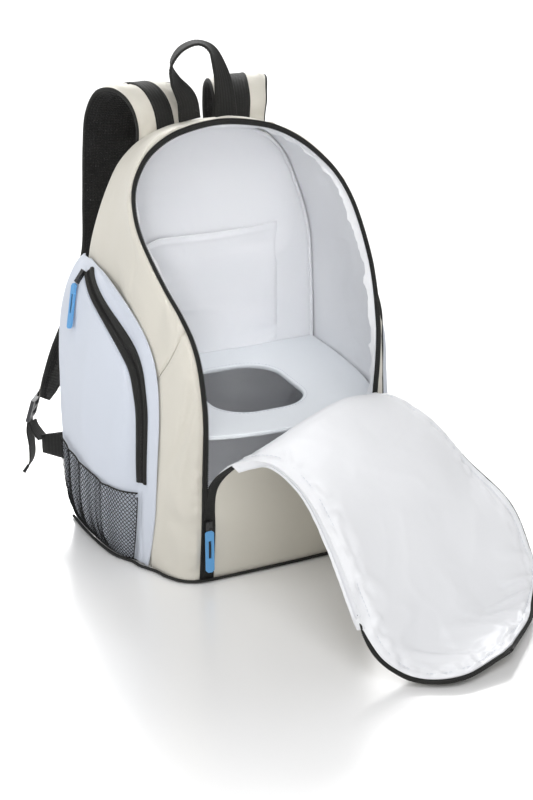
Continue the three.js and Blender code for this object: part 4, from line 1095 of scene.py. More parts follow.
@dataclass(frozen=True)
class MouthZip:
    """The long zip round the mouth: its tape, its teeth and its piping cord; the slider with its pull is
    dressed by PullTag.
    """

    form: BagForm
    rows: int = 420

    def build(self) -> None:
        """Makes the body's half of the zip: its tape, teeth and piping cord."""
        form = self.form
        u = np.linspace(0, 1, self.rows)[:, None]
        w = np.array([0.0, 0.08, 0.2, 0.4, 0.6, 0.8, 1.0])[None, :]
        t = w * form.tape_at(u) / form.across_length(u)
        face, out = faced(form.gusset, u, t)
        ridge = 0.9 * np.exp(-((w - 0.5) * 5) ** 2) - 0.5 * np.exp(-((w - 1) * 9) ** 2) + 0 * u
        outer = face + out * spread(ridge)
        inner = face - out * form.wall
        tape = slab(above(outer, 0.1), above(inner, 0.1))
        lay("zip_tape_mouth", tape, ZIP_TAPE, "black_tape", "zip_tape_body")
        self.build_teeth()
        self.build_cord()

    def build_teeth(self) -> None:
        """Sets the teeth along the tape's free edge."""
        form = self.form
        count = int(form.zip_line.length / TOOTH_PITCH)
        u = (np.arange(count) + 0.5) / count
        at, way = form.zip_line.at(u), form.zip_line.tangent(u)
        out = normal_of(form.gusset, u, 0 * u + 0.002)
        across = unit(np.cross(out, way))
        across *= np.sign(np.sum(across * (form.gusset(u, 0 * u + 0.02) - at), -1, keepdims=True))
        parts = many(pill(*TOOTH), at - across * 0.5 - out * 1.2, across, way, out)
        lay("zip_teeth_mouth", parts, ZIP_TEETH, "black_tape")

    def build_cord(self) -> None:
        """Lays the piping cord between the tape and the cream cloth."""
        form = self.form
        u = np.linspace(0.002, 0.998, 700)
        t = (form.tape_at(u) + 0.45) / form.across_length(u)
        at, out = faced(form.gusset, u, t)
        way = unit(np.gradient(at, axis=0))
        side = unit(np.cross(out, way))
        at = at + out * 0.2
        lay("zip_piping_mouth", tube(at, round_section(1.15, 8), side, out), ZIP_TAPE, "black_tape")


@dataclass(frozen=True)
class Interior:
    """The white inside: linings with their ruffled lip, the shelf and the flat pocket."""

    form: BagForm
    rows: int = 280
    across: int = 60
    lip: float = 4.6
    lip_width: float = 8.5
    roll_radius: float = 2.0
    pocket_width: float = 172
    pocket_top: float = 306
    pocket_thickness: float = 1.2
    foot: float = 5.0
    hole_half: tuple[float, float] = (51, 62)
    hole_corner: float = 38
    hole_middle: tuple[float, float] = (-3, -11)
    hole_hem: float = 4

    def build(self) -> None:
        """Makes every piece of the inside."""
        self.build_gusset_lining()
        self.build_back_lining()
        puffed("lining_floor", "lining_base", WHITE_PEVA, "white_lining")
        self.build_shelf()
        self.build_pocket()

    def build_gusset_lining(self) -> None:
        """Makes the lining of the arch, crushed into small folds."""
        form = self.form
        u, w = share_grid(self.rows, self.across)
        t = mix(0.004, 1.0, w ** 1.25)
        face, out = faced(form.gusset, u, t)
        deep = form.wall + form.clearance
        from_zip = t * form.across_length(u)
        crush = grain(face, 66, 25, (1, 1, 1.5)) * 4.2 + grain(face, 30, 24, (1, 1.5, 1)) * 1.3
        crush = crush + creases(face, 40, 23, (1, 1.6, 1)) * 0.8
        fade = smooth(from_zip / 14) * smooth((1 - t) * form.across_length(u) / 9)
        lift = np.maximum(deep + form.lining + crush * fade * 0.9, deep + 0.6)
        base = face - out * deep
        inner = face - out * spread(lift)
        parts = slab(above(inner, self.foot), above(base, self.foot))
        lay("lining_arch", parts, WHITE_PEVA, "white_lining", "lining_gusset")
        self.build_lip()

    def build_lip(self) -> None:
        """Makes the ruffled turned-in edge of the lining that stands up behind the zip."""
        form = self.form
        u, w = share_grid(640, 9)
        line = form.zip_line.at(u)
        ruffle = grain(line, 14, 26) * 1.5 + grain(line, 34, 27) * 2.0 + creases(line, 22, 29) * 1.1
        reach = 0.7 + w * np.maximum(self.lip_width + ruffle * 2.0, 4.0)
        t = reach / form.across_length(u)
        face, out = faced(form.gusset, u, t)
        rise = form.skin + 1.0 + w ** 1.3 * (self.lip + ruffle * 1.3) \
            + creases(face, 8, 28) * 0.8 * w + 0.5 * np.sin(np.pi * w)
        top = face - out * spread(rise)
        under = face - out * spread(rise - 0.9)
        parts = slab(above(top, self.foot + 0.4), above(under, self.foot + 0.4))
        lay("lining_turned_edge", parts, WHITE_PEVA, "white_lining")

    def build_back_lining(self) -> None:
        """Makes the back wall's lining and the soft rolls in the corner round it."""
        form = self.form
        a = np.linspace(0, 1, 130)
        half = self.back_edge(a)
        s = np.linspace(0, 1, 96)
        grid = np.stack([mix(half[:, None, 0], -half[:, None, 0], s[None]),
                         half[:, None, 1] + 0 * s, half[:, None, 2] + 0 * s], -1)
        y = form.depth / 2 - form.wall - form.clearance
        edge = np.minimum(s, 1 - s)[None] * np.ptp(grid[..., 0], axis=1)[:, None]
        lift = creases(grid, 56, 31, (1.6, 1, 0.7)) * 1.3 + grain(grid, 74, 32, (1.5, 1, 0.7)) * 3.0
        lift = lift * smooth(edge / 30)
        outer = grid.copy()
        outer[..., 1] = np.minimum(y - form.lining - np.maximum(lift, 0) + (grid[..., 1] - form.depth / 2),
                                   y - form.lining)
        back = grid.copy()
        back[..., 1] = y + (grid[..., 1] - form.depth / 2)
        lay("lining_back_wall", slab(outer, back), WHITE_PEVA, "white_lining", "lining_back")
        u = np.linspace(0.02, 1, 220)
        left = self.back_edge(u)
        loop = np.vstack([left, left[::-1] * (-1, 1, 1)])
        path = Curve(loop[::6])
        u = np.linspace(0.01, 0.99, 520)
        at, way = path.at(u), path.tangent(u)
        at = at + np.stack([0 * u, 0 * u - (form.skin + 2.2) + 0.4 * grain(at, 26, 33), 0 * u], -1)
        inward = unit(np.cross(way, AFT))
        inward *= np.sign(np.sum(inward * (np.array([0, 0, 200.0]) - at), -1, keepdims=True))
        at = at + inward * 2.0
        lay("lining_corner_roll", tube(at, round_section(self.roll_radius, 8), inward, np.cross(way, inward)),
            WHITE_PEVA, "white_lining")

    def back_edge(self, a: Array) -> Array:
        """The left half of the back wall's outline, from the foot to the crown."""
        form = self.form
        u = mix(0.0, 0.494, np.asarray(a, float))
        p, way = form.back_line.at(u), form.back_line.tangent(u)
        inward = unit(np.stack([way[..., 2], 0 * u, -way[..., 0]], -1))
        q = p + inward * (form.skin + 3 * form.clearance)
        q[..., 0] = np.minimum(q[..., 0], -1)
        return q

    def build_shelf(self) -> None:
        """Makes the covered board with its rounded hole and the welded edge round it."""
        shelf, work = open_solid("shelf_board", "divider_shelf", SHELF_PEVA)
        mesh = shelf.data
        rims = [e for e in work.edges if len(e.link_faces) == 2 and e.calc_face_angle(0) > 1.0
                and abs((e.verts[0].co - e.verts[1].co).z) < 1e-4]
        bmesh.ops.bevel(work, geom=rims, offset=1.7 * MM, segments=4, profile=0.5, affect="EDGES")
        work.to_mesh(mesh)
        work.free()
        shade(mesh, 40)
        dress(shelf, "white_lining", "divider_shelf")
        corner = self.hole_corner + self.hole_hem
        w, d = (half + self.hole_hem for half in self.hole_half)
        turn = np.linspace(0, math.pi / 2, 14)
        arc = [np.stack([sx * (w - corner) + corner * np.cos(turn + k * math.pi / 2),
                         sy * (d - corner) + corner * np.sin(turn + k * math.pi / 2)], -1)
               for k, (sx, sy) in enumerate(((1, 1), (-1, 1), (-1, -1), (1, -1)))]
        ring = np.vstack(arc + [arc[0][:1]]) + self.hole_middle
        line = np.column_stack([ring, np.full(len(ring), self.form.shelf_top + 0.05)])
        stitches("shelf_hole_stitches", line, np.tile(UP, (len(line), 1)), WHITE_THREAD, "white_lining",
                 4.2, 0.6)

    def build_pocket(self) -> None:
        """Makes the flat pocket on the back wall, with its soft top edge turned over at the left."""
        form = self.form
        foot = form.shelf_top + form.clearance
        s, v = np.linspace(0, 1, 90)[None, :], np.linspace(0, 1, 84)[:, None]
        x = mix(-self.pocket_width / 2, self.pocket_width / 2, s) + 0 * v
        sag = 3.0 * np.sin(np.pi * s) + 12 * smooth((0.2 - s) / 0.2)
        z = mix(foot, self.pocket_top, v) - sag * v ** 3
        y = form.depth / 2 - form.wall - 2 * form.clearance - form.lining
        flat = np.stack([x, 0 * x + y, z], -1)
        lift = 1.4 + 3.4 * smooth((v - 0.35) / 0.65) * np.sin(np.pi * s) ** 0.7
        lift = lift + creases(flat, 44, 41, (1.4, 1, 0.8)) * 0.9 + grain(flat, 36, 42, (1.5, 1, 0.7)) * 1.8
        turned = 3.5 * np.exp(-(((s - 0.13) * 9) ** 2 + ((v - 0.93) * 10) ** 2))
        hem = 0.7 * np.exp(-((v - 0.955) * 60) ** 2)
        lift = (lift + turned + hem) * smooth(np.minimum(s, 1 - s) * 30 + 0.12)
        outer, back = flat.copy(), flat.copy()
        outer[..., 1] -= lift + self.pocket_thickness
        back[..., 1] -= np.maximum(lift - 0.6, 0.0)
        piece = make_mesh("wall_pocket", *slab(outer, back), [WHITE_PEVA])
        dress(piece, "white_lining", "lining_pocket")


@dataclass(frozen=True)
class Flap:
    """The front flap, folded down to the floor: outer cloth, white lining and the zip's other half."""

    form: BagForm
    rows: int = 190
    across: int = 96
    tape_width: float = 8.0
    lining_inset: float = 2.2
    stitch_inset: float = 9.0
    overhang: float = 4.1
    folds: tuple[Fold, ...] = (
        Fold((0.9, 0.03), (0.86, 0.34), 7, 2.2), Fold((0.84, 0.02), (0.8, 0.25), 6, 1.6),
        Fold((0.95, 0.1), (0.88, 0.42), 7, 1.8), Fold((0.78, 0.02), (0.74, 0.2), 5, 1.2),
        Fold((0.97, 0.3), (0.84, 0.62), 9, 2.0), Fold((0.93, 0.75), (0.8, 0.93), 8, 2.0),
        Fold((0.95, 0.62), (0.84, 0.84), 7, -1.5), Fold((0.55, 0.1), (0.62, 0.85), 22, 1.2),
        Fold((0.44, 0.2), (0.4, 0.9), 16, -1.0), Fold((0.7, 0.85), (0.62, 0.98), 6, 1.0))

    def patch(self, inset: float, loose: float = 0.0) -> tuple[Array, Array]:
        """Shares of the flap's length and width over a patch drawn in from the rim.

        Args:
            inset: how far in, in millimetres.
            loose: how much of the lining's drift past the left rim and in from the right it has.

        Returns:
            The shares along and across.
        """
        form = self.form
        s = 1 - (1 - np.linspace(0, 1, self.rows)) ** 1.9
        a = s[:, None] * (form.flap_length - inset - 0.8) / form.flap_reach
        b = (1 - np.cos(np.linspace(0, np.pi, self.across))) / 2
        b = mix(b, np.linspace(0, 1, self.across), 0.55)[None, :]
        half = form.half_at(a * form.flap_reach + 0 * b)
        along = s * form.flap_length
        slope = np.abs(np.gradient(form.half_at(along), along + 1e-6 * np.arange(len(s))))[:, None]
        pull = np.sqrt(1 + np.minimum(slope, 6.0) ** 2) / (2 * half)
        past = smooth((a - 0.27) / 0.05) * (1 - smooth((a - 0.7) / 0.08)) * self.overhang * loose
        short = np.exp(-((a - 0.86) / 0.06) ** 2) * 3.0 * loose
        right = np.clip((inset + short) * pull, 0, 0.46)
        left = np.clip((inset - past) * pull, -0.02, 0.46)
        return a + 0 * b, right + (1 - right - left) * b

    def build(self) -> None:
        """Makes the flap's pieces."""
        self.build_outer()
        self.build_lining()
        self.build_tape()

    def relief(self, a: Array, b: Array) -> Array:
        """The rise of the flap's folds, in millimetres, at shares along and across it."""
        form = self.form
        size = (form.flap_length, 190.0)
        place = form.flap(a, b)
        free = smooth((a - 0.3) / 0.12)
        lift = sum((f.lift(a, b, size) for f in self.folds), np.zeros(np.broadcast(a, b).shape))
        return (lift + grain(place, 60, 51) * 2.2 + creases(place, 46, 52, (1, 1, 1)) * 0.45 * free) \
            * (0.35 + 0.65 * free)

    def build_outer(self) -> None:
        """Makes the cream outer cloth, from the foot of the bag to the crown on the floor."""
        form = self.form
        a, b = self.patch(self.tape_width + 0.4)
        face, out = faced(form.flap, a, b)
        lift = self.relief(a, b) * 0.25
        dip = np.exp(-(np.minimum(b, 1 - b) * 190 / 4) ** 2) * 0.8
        outer = face - out * spread(dip + np.maximum(-lift, 0) * 0.3)
        inner = face - out * spread(form.flap_wall + 0 * lift)
        piece = make_mesh("flap_outer", *slab(above(outer, 0.4), inner), [CREAM_NYLON])
        dress(piece, "cream_nylon", "front_flap")

    def build_lining(self) -> None:
        """Makes the white lining, with folds, and the stitch line round it."""
        form = self.form
        a, b = self.patch(self.lining_inset, 1.0)
        face, out = faced(form.flap, a, b)
        deep = form.flap_wall + form.clearance
        rim = self.rim_distance(a, b)
        swell = 1.6 * smooth(rim / 12) - 1.1 * np.exp(-((rim - self.stitch_inset) / 2.2) ** 2)
        pucker = grain(face, 11, 53) * 3.2 * np.exp(-((rim - self.stitch_inset - 3) / 8) ** 2)
        lift = swell + pucker + np.maximum(self.relief(a, b) * 2.0, -1.6) * smooth(rim / 10)
        top = face - out * spread(deep + form.lining + lift)
        turned = np.clip((b - 1) / 0.006, 0, 1)
        under = face - out * spread(deep * (1 - turned))
        piece = make_mesh("flap_lining_sheet", *slab(above(top, 1.8), above(under, 0.6)), [WHITE_PEVA])
        dress(piece, "white_lining", "flap_lining")
        k = np.linspace(0.012, 0.988, 700)
        at = self.rim_at(k, self.stitch_inset)
        share_a = np.clip(at[:, 0] / form.flap_reach, 0, 1)
        share_b = np.clip(0.5 - at[:, 1] / (2 * form.half_at(at[:, 0])), 0, 1)
        line, out = faced(form.flap, share_a, share_b)
        lift = deep + form.lining + 0.6 + np.maximum(self.relief(share_a, share_b) * 2.0, -1.6) * 0.8
        stitches("flap_stitches", line - out * spread(lift), -out, WHITE_THREAD, "white_lining", 4.4, 0.6)

    def rim_at(self, k: Array, inset: Array | float) -> Array:
        """Places along the flap and across it on a line drawn in from the rim.

        Args:
            k: shares along the rim.
            inset: how far in, in millimetres.

        Returns:
            (along, across) in millimetres.
        """
        form = self.form
        at, way = form.rim.at(k), form.rim.tangent(k)
        inward = np.stack([way[:, 1], -way[:, 0]], -1)
        inward *= np.sign(np.sum(inward * (np.array([form.flap_length * 0.7, 0]) - at), -1, keepdims=True))
        return at + inward * inset

    def rim_distance(self, a: Array, b: Array) -> Array:
        """How far places on the flap are from its rim, in millimetres."""
        form = self.form
        along = a * form.flap_reach
        p = np.stack([along, form.half_at(along) * (1 - 2 * b)], -1)
        rim = form.rim.at(np.linspace(0, 1, 240))
        best = np.full(a.shape, 1e9)
        for q in rim:
            best = np.minimum(best, np.hypot(p[..., 0] - q[0], p[..., 1] - q[1]))
        return best

    def rim_strip(self, k: Array, inset: Array, tuck: Array) -> tuple[Array, Array]:
        """Points and outward directions on the flap's outer face near its rim.

        Args:
            k: shares along the rim.
            inset: how far in from it, in millimetres.
            tuck: how much further in the strip's outer edge is drawn at each share.

        Returns:
            The points and the directions.
        """
        form = self.form
        rows = []
        for d in inset:
            at = self.rim_at(k, (d + tuck * (1 - d / self.tape_width))[:, None])
            rows.append(form.flap_point(np.maximum(at[:, 0], 0), at[:, 1]))
        face = np.stack(rows, 1)
        out = unit(np.cross(np.gradient(face, axis=0), np.gradient(face, axis=1)))
        return face, out

    def build_tape(self) -> None:
        """Makes the black tape round the rim and its teeth."""
        form = self.form
        k = np.linspace(0.001, 0.999, 520)
        inset = np.array([0.0, 0.8, 2.2, 4.0, 6.0, 7.2, self.tape_width])
        at = self.rim_at(k, 0.0)
        share = at[:, 0] / form.flap_length
        tuck = smooth((share - 0.25) / 0.05) * (1 - smooth((share - 0.67) / 0.08)) * (at[:, 1] < 0) * 3.2
        face, out = self.rim_strip(k, inset, tuck)
        middle = normal_of(form.flap, np.array([0.8]), np.array([0.5]))[0]
        if np.dot(out[260, 3], middle) < 0:
            out = -out
        tape = slab(above(face, 0.3), above(face - out * form.flap_wall, 0.3))
        lay("flap_zip_tape", tape, ZIP_TAPE, "black_tape", "zip_tape_flap")
        count = int(form.rim.length / TOOTH_PITCH)
        spots = (np.arange(count) + 0.5) / count * 0.998 + 0.001
        spots = spots[np.interp(spots, k, tuck) < 0.4]
        pick = lambda rows: read_rows(spots, k, rows)
        at, up = pick(face[:, 0]), unit(pick(out[:, 1]))
        inward = unit(pick(face[:, 3]) - at)
        way = unit(np.cross(up, inward))
        parts = many(pill(*TOOTH), at - inward * 0.3 - up * 1.5 + UP * 0.4, inward, way, up)
        lay("flap_zip_teeth", parts, ZIP_TEETH, "black_tape")


class Side(Enum):
    """Which side of the bag a piece is on; the value is the sign of its x."""

    LEFT = 1
    RIGHT = -1

    @property
    def word(self) -> str:
        """The side's name, as it ends a piece's name."""
        return self.name.lower()

    def put(self, points: Array) -> Array:
        """Points made for the left side, put on this one."""
        return points * np.array([self.value, 1.0, 1.0])

    def turned(self, parts: tuple) -> tuple:
        """Points, faces and flat places made for the left side, put on this one."""
        points, faces, flat = parts
        if self is Side.LEFT:
            return parts
        back = faces[:, ::-1] if isinstance(faces, np.ndarray) else [f[::-1] for f in faces]
        return self.put(points), back, flat

    def lay(self, name: str, parts: tuple, finish: Finish, slot: str, *nodes: str) -> bpy.types.Object:
        """Makes a piece from parts made for the left side, puts it on this one and dresses it."""
        nodes = tuple(f"{node}_{self.word}" for node in nodes)
        return lay(f"{name}_{self.word}", self.turned(parts), finish, slot, *nodes)

    def sew(self, name: str, line: Array, normals: Array, *thread: object) -> None:
        """Sews a row of stitches along a line made for the left side, put on this one."""
        stitches(f"{name}_{self.word}", self.put(line), self.put(normals), *thread)


@dataclass(frozen=True)
class SidePocket:
    """A pale blue side pocket with its arched zip, its floor and the net pocket on it."""

    form: BagForm
    side: Side
    rows: int = 130
    columns: int = 112
    zip_width: float = 9.5
    wall: float = 2.0
    zip_fore: tuple = (-.86, -.7, -.36, .03, .3, .46, .53, .55, .55)
    zip_up: tuple = (.697, .687, .654, .612, .566, .515, .44, .35, .227)
    mesh_across: tuple = (.2, .4, .6, .8, .96)
    mesh_up: tuple = (.168, .172, .187, .205, .222)
    net_pitch: float = 4.4
    net_yarn: float = 0.42
    net_from: float = 0.162
    net_to: float = 0.9

    def build(self) -> None:
        """Makes the pocket's pieces."""
        form = self.form
        edge = Curve(np.stack([-np.array(self.zip_fore) * form.depth / 2,
                               np.array(self.zip_up) * form.height], -1), even=True)
        u = np.linspace(0, 1, 150)
        front, way = edge.at(u), edge.tangent(u)
        broad = self.zip_width * mix(0.66, 1.0, smooth(u / 0.22))
        rear = front + np.stack([-way[:, 1], way[:, 0]], -1) * spread(broad)
        strip = mix(front[13:, None], rear[13:, None], np.linspace(-0.04, 1.04, 9)[None, :, None])
        self.build_shell(front, rear)
        self.build_zip(strip)
        word = self.side.word
        puffed(f"pocket_floor_{word}", f"side_pocket_floor_{word}", ZIP_TAPE, "black_tape")
        self.build_net()

    def relief(self, face: Array, b: Array, a: Array) -> Array:
        """The shell's soft folds at its points."""
        edge = np.minimum(np.minimum(b, 1 - b) * 140, np.minimum(a + 0.02, 1 - a) * 300)
        lift = grain(face, 58, 61, (1, 1, 1.8)) * 3.0 + grain(face, 24, 62, (1, 1, 1.6)) * 1.0
        return lift * smooth(edge / 24)

    def build_shell(self, front: Array, rear: Array) -> None:
        """Makes the two cloth parts that the zip joins.

        Args:
            front: the zip's front edge as (y, z) places.
            rear: its rear edge.
        """
        form = self.form
        a, b = share_grid(self.rows, self.columns)
        face, out = faced(form.on_pocket, a, b)
        middle = (front + rear) / 2
        middle = np.vstack([middle, [middle[-1] + (6, -60)], [middle[-1] + (12, -140)]])
        span, nearest, where = middle[1:] - middle[:-1], np.full(a.shape, 1e9), np.zeros(a.shape)
        p = face[..., 1:]
        for m, s in zip(middle[:-1], span):
            t = np.clip(np.sum((p - m) * s, -1) / np.dot(s, s), 0, 1)
            gap = p - m - t[..., None] * s
            d = np.linalg.norm(gap, axis=-1)
            cross = s[0] * gap[..., 1] - s[1] * gap[..., 0]
            closer = d < nearest
            nearest, where = np.where(closer, d, nearest), np.where(closer, np.sign(cross), where)
        beside = 0.9 * np.exp(-((nearest - self.zip_width / 2) / 3.0) ** 2)
        beside = beside + 0.7 * np.exp(-(np.minimum(nearest, 5) / 4) ** 2)
        dip = np.where(p[..., 1] > front[-1, 1] - 6, beside, np.exp(-(nearest / 2.2) ** 2))
        lift = self.relief(face, b, a) * smooth(nearest / 14) - dip
        outer, inner = face + out * spread(lift), face - out * self.wall
        points, faces, flat = slab(above(outer, 0.3), above(inner, 0.3))
        side_of = np.concatenate([where.ravel(), where.ravel(), np.zeros(len(points) - 2 * where.size)])
        votes = side_of[faces].sum(1)
        for name, node, keep in (("pocket_main", "side_pocket", votes > 0),
                                 ("pocket_front_strip", "side_pocket_front", votes <= 0)):
            part = faces[keep]
            used = np.unique(part)
            new = np.full(len(points), -1)
            new[used] = np.arange(len(used))
            parts = points[used], new[part], flat[used]
            self.side.lay(name, parts, PALE_BLUE_NYLON, "pale_blue_nylon", node)

    def solve(self, spots: Array) -> tuple[Array, Array]:
        """Finds the shares on the pocket whose side view is at given places.

        Args:
            spots: (y, z) places in millimetres.

        Returns:
            Shares up the pocket and across it.
        """
        form = self.form
        grid_a = np.linspace(0.02, 1, 90)[:, None] + np.zeros(90)
        grid_b = np.linspace(0, 1, 90)[None, :] + np.zeros((90, 1))
        seen = form.on_pocket(grid_a, grid_b)[..., 1:].reshape(-1, 2)
        flat = spots.reshape(-1, 2)
        near = np.array([int(np.argmin(np.sum((seen - s) ** 2, -1))) for s in flat])
        a, b = grid_a.ravel()[near], grid_b.ravel()[near]
        for _ in range(6):
            p = form.on_pocket(a, b)[:, 1:]
            da = (form.on_pocket(np.clip(a + 1e-3, 0, 1), b)[:, 1:] - p) / 1e-3
            db = (form.on_pocket(a, np.clip(b + 1e-3, 0, 1))[:, 1:] - p) / 1e-3
            det = da[:, 0] * db[:, 1] - da[:, 1] * db[:, 0]
            det = np.where(np.abs(det) < 1e-3, 1e-3, det)
            miss = flat - p
            step_a = (miss[:, 0] * db[:, 1] - miss[:, 1] * db[:, 0]) / det
            step_b = (da[:, 0] * miss[:, 1] - da[:, 1] * miss[:, 0]) / det
            a = np.clip(a + np.clip(step_a, -0.05, 0.05), 0, 0.998)
            b = np.clip(b + np.clip(step_b, -0.05, 0.05), 0.002, 0.998)
        return a.reshape(spots.shape[:-1]), b.reshape(spots.shape[:-1])

    def build_zip(self, strip: Array) -> None:
        """Makes the pocket's zip: the tape, its turned edges and the coil of teeth.

        Args:
            strip: (y, z) places along the zip and across it.
        """
        form = self.form
        a, b = self.solve(strip)
        kernel = np.ones(9) / 9
        pad = lambda g: np.stack([np.convolve(np.pad(c, 4, mode="edge"), kernel, "valid") for c in g.T], -1)
        a, b = pad(a), pad(b)
        face, out = faced(form.on_pocket, a, b)
        w = np.linspace(-1, 1, strip.shape[1])
        rise = 0.75 + 1.1 * np.exp(-((np.abs(w) - 0.72) * 6) ** 2) - 0.35 * np.exp(-(w * 3.2) ** 2)
        outer = face + out * spread(np.broadcast_to(rise, a.shape))
        tape = slab(outer, face - out * self.wall)
        self.side.lay("pocket_zip_tape", tape, ZIP_TAPE, "black_tape", "side_pocket_zip")
        line = outer[:, 4]
        run = walked(line)
        spots = np.arange(1.0, run[-1], 1.6)
        pick = lambda rows: read_rows(spots, run, rows)
        at, up = pick(line), unit(pick(out[:, 4]))
        across = unit(pick(outer[:, 6] - outer[:, 2]))
        way = unit(np.cross(up, across))
        coil = many(pill(3.6, 1.1, 1.5), at + up * 0.3, across, way, up)
        self.side.lay("pocket_zip_teeth", coil, ZIP_TEETH, "black_tape")
        for index, sign, word in ((0, -1, "front"), (8, 1, "rear")):
            edge, up = face[:, index], out[:, index]
            across = unit(outer[:, 6] - outer[:, 2]) * sign
            line = edge + across * 2.0 - up * 0.25
            self.side.sew(f"pocket_zip_stitches_{word}", line, up, BLUE_THREAD, "pale_blue_nylon", 3.6, 0.55)

    def net_point(self, a: Array, b: Array) -> Array:
        """The net's face: a up from the foot, b from its front edge back."""
        form = self.form
        across = mix(self.net_from, self.net_to, b)
        top = column(self.mesh_across, self.mesh_up, np.clip(across, .2, .96))
        along = mix(form.pocket_along[0] + .004, top * .86 + .02, a)
        slack = 2.6 * np.sin(np.pi * b) * np.sin(np.pi * np.minimum(a, .9))
        surface = lambda v, w: form.pocket(v * form.pocket_along[-1], w)
        out = normal_of(surface, along / form.pocket_along[-1], across)
        face = form.pocket(along, across)
        folds = sum(h * np.exp(-(((b - at - 0.04 * a) * 110 / w) ** 2))
                    for at, w, h in ((.3, 3.5, 1.8), (.42, 3, -0.9), (.6, 4, 1.6), (.78, 3.5, 1.3)))
        puff = 1.1 * grain(face, 24, 66, (1, 1, 2.4)) * np.sin(np.pi * np.clip(a, 0, 1))
        return face + out * spread(2.3 + slack + (folds + puff) * smooth(a * 4) * smooth((1 - b) * 8))

    def build_net(self) -> None:
        """Knits the net of crossing yarns and binds its top edge."""
        face = self.net_point(*share_grid(70, 110))
        wide = float(np.mean(np.linalg.norm(np.diff(face, axis=1), axis=-1).sum(1)))
        tall = float(np.mean(np.linalg.norm(np.diff(face, axis=0), axis=-1).sum(0)))
        parts = []
        step = self.net_pitch / 2
        for lean in (1, -1):
            for start in np.arange(-tall, wide + tall, self.net_pitch):
                s = np.arange(0, tall + 1e-6, step)
                x = start + lean * s * 0.8 + (tall if lean < 0 else 0) * 0.8
                x = x + 0.32 * np.where(np.arange(len(s)) % 2, 1, -1) * lean
                keep = (x >= 0) & (x <= wide)
                if keep.sum() < 3:
                    continue
                u, v = (s[keep] / tall) * 69, (x[keep] / wide) * 109
                i, j = np.minimum(u.astype(int), 68), np.minimum(v.astype(int), 108)
                fu, fv = spread(u - i), spread(v - j)
                path = ((face[i, j] * (1 - fv) + face[i, j + 1] * fv) * (1 - fu)
                        + (face[i + 1, j] * (1 - fv) + face[i + 1, j + 1] * fv) * fu)
                way = unit(np.gradient(path, axis=0))
                side = unit(np.cross(way, np.tile([1.0, 0.2, 0.1], (len(path), 1))))
                parts.append(tube(path, round_section(self.net_yarn, 3), side, np.cross(way, side), False))
        self.side.lay("net_pocket", join_parts(parts), NET_YARN, "black_mesh", "mesh_pocket")
        edges = {"top": face[-1], "front": face[:, 0]}
        for word, line in edges.items():
            path = Curve(line[::6]) if word == "top" else Curve(line[::5])
            u = np.linspace(0, 1, 160)
            at, way = path.at(u), path.tangent(u)
            guess = unit(at - np.array([0.0, 40.0, 0.0]) - UP * spread(at[:, 2]) * 0.9)
            side = unit(np.cross(guess, way))
            size = (1.9, 1.3) if word == "top" else (1.2, 1.0)
            bind = tube(at + guess * 0.2, band_section(*size, 4), side, unit(np.cross(way, side)))
            self.side.lay(f"net_binding_{word}", bind, ZIP_TAPE, "black_tape")


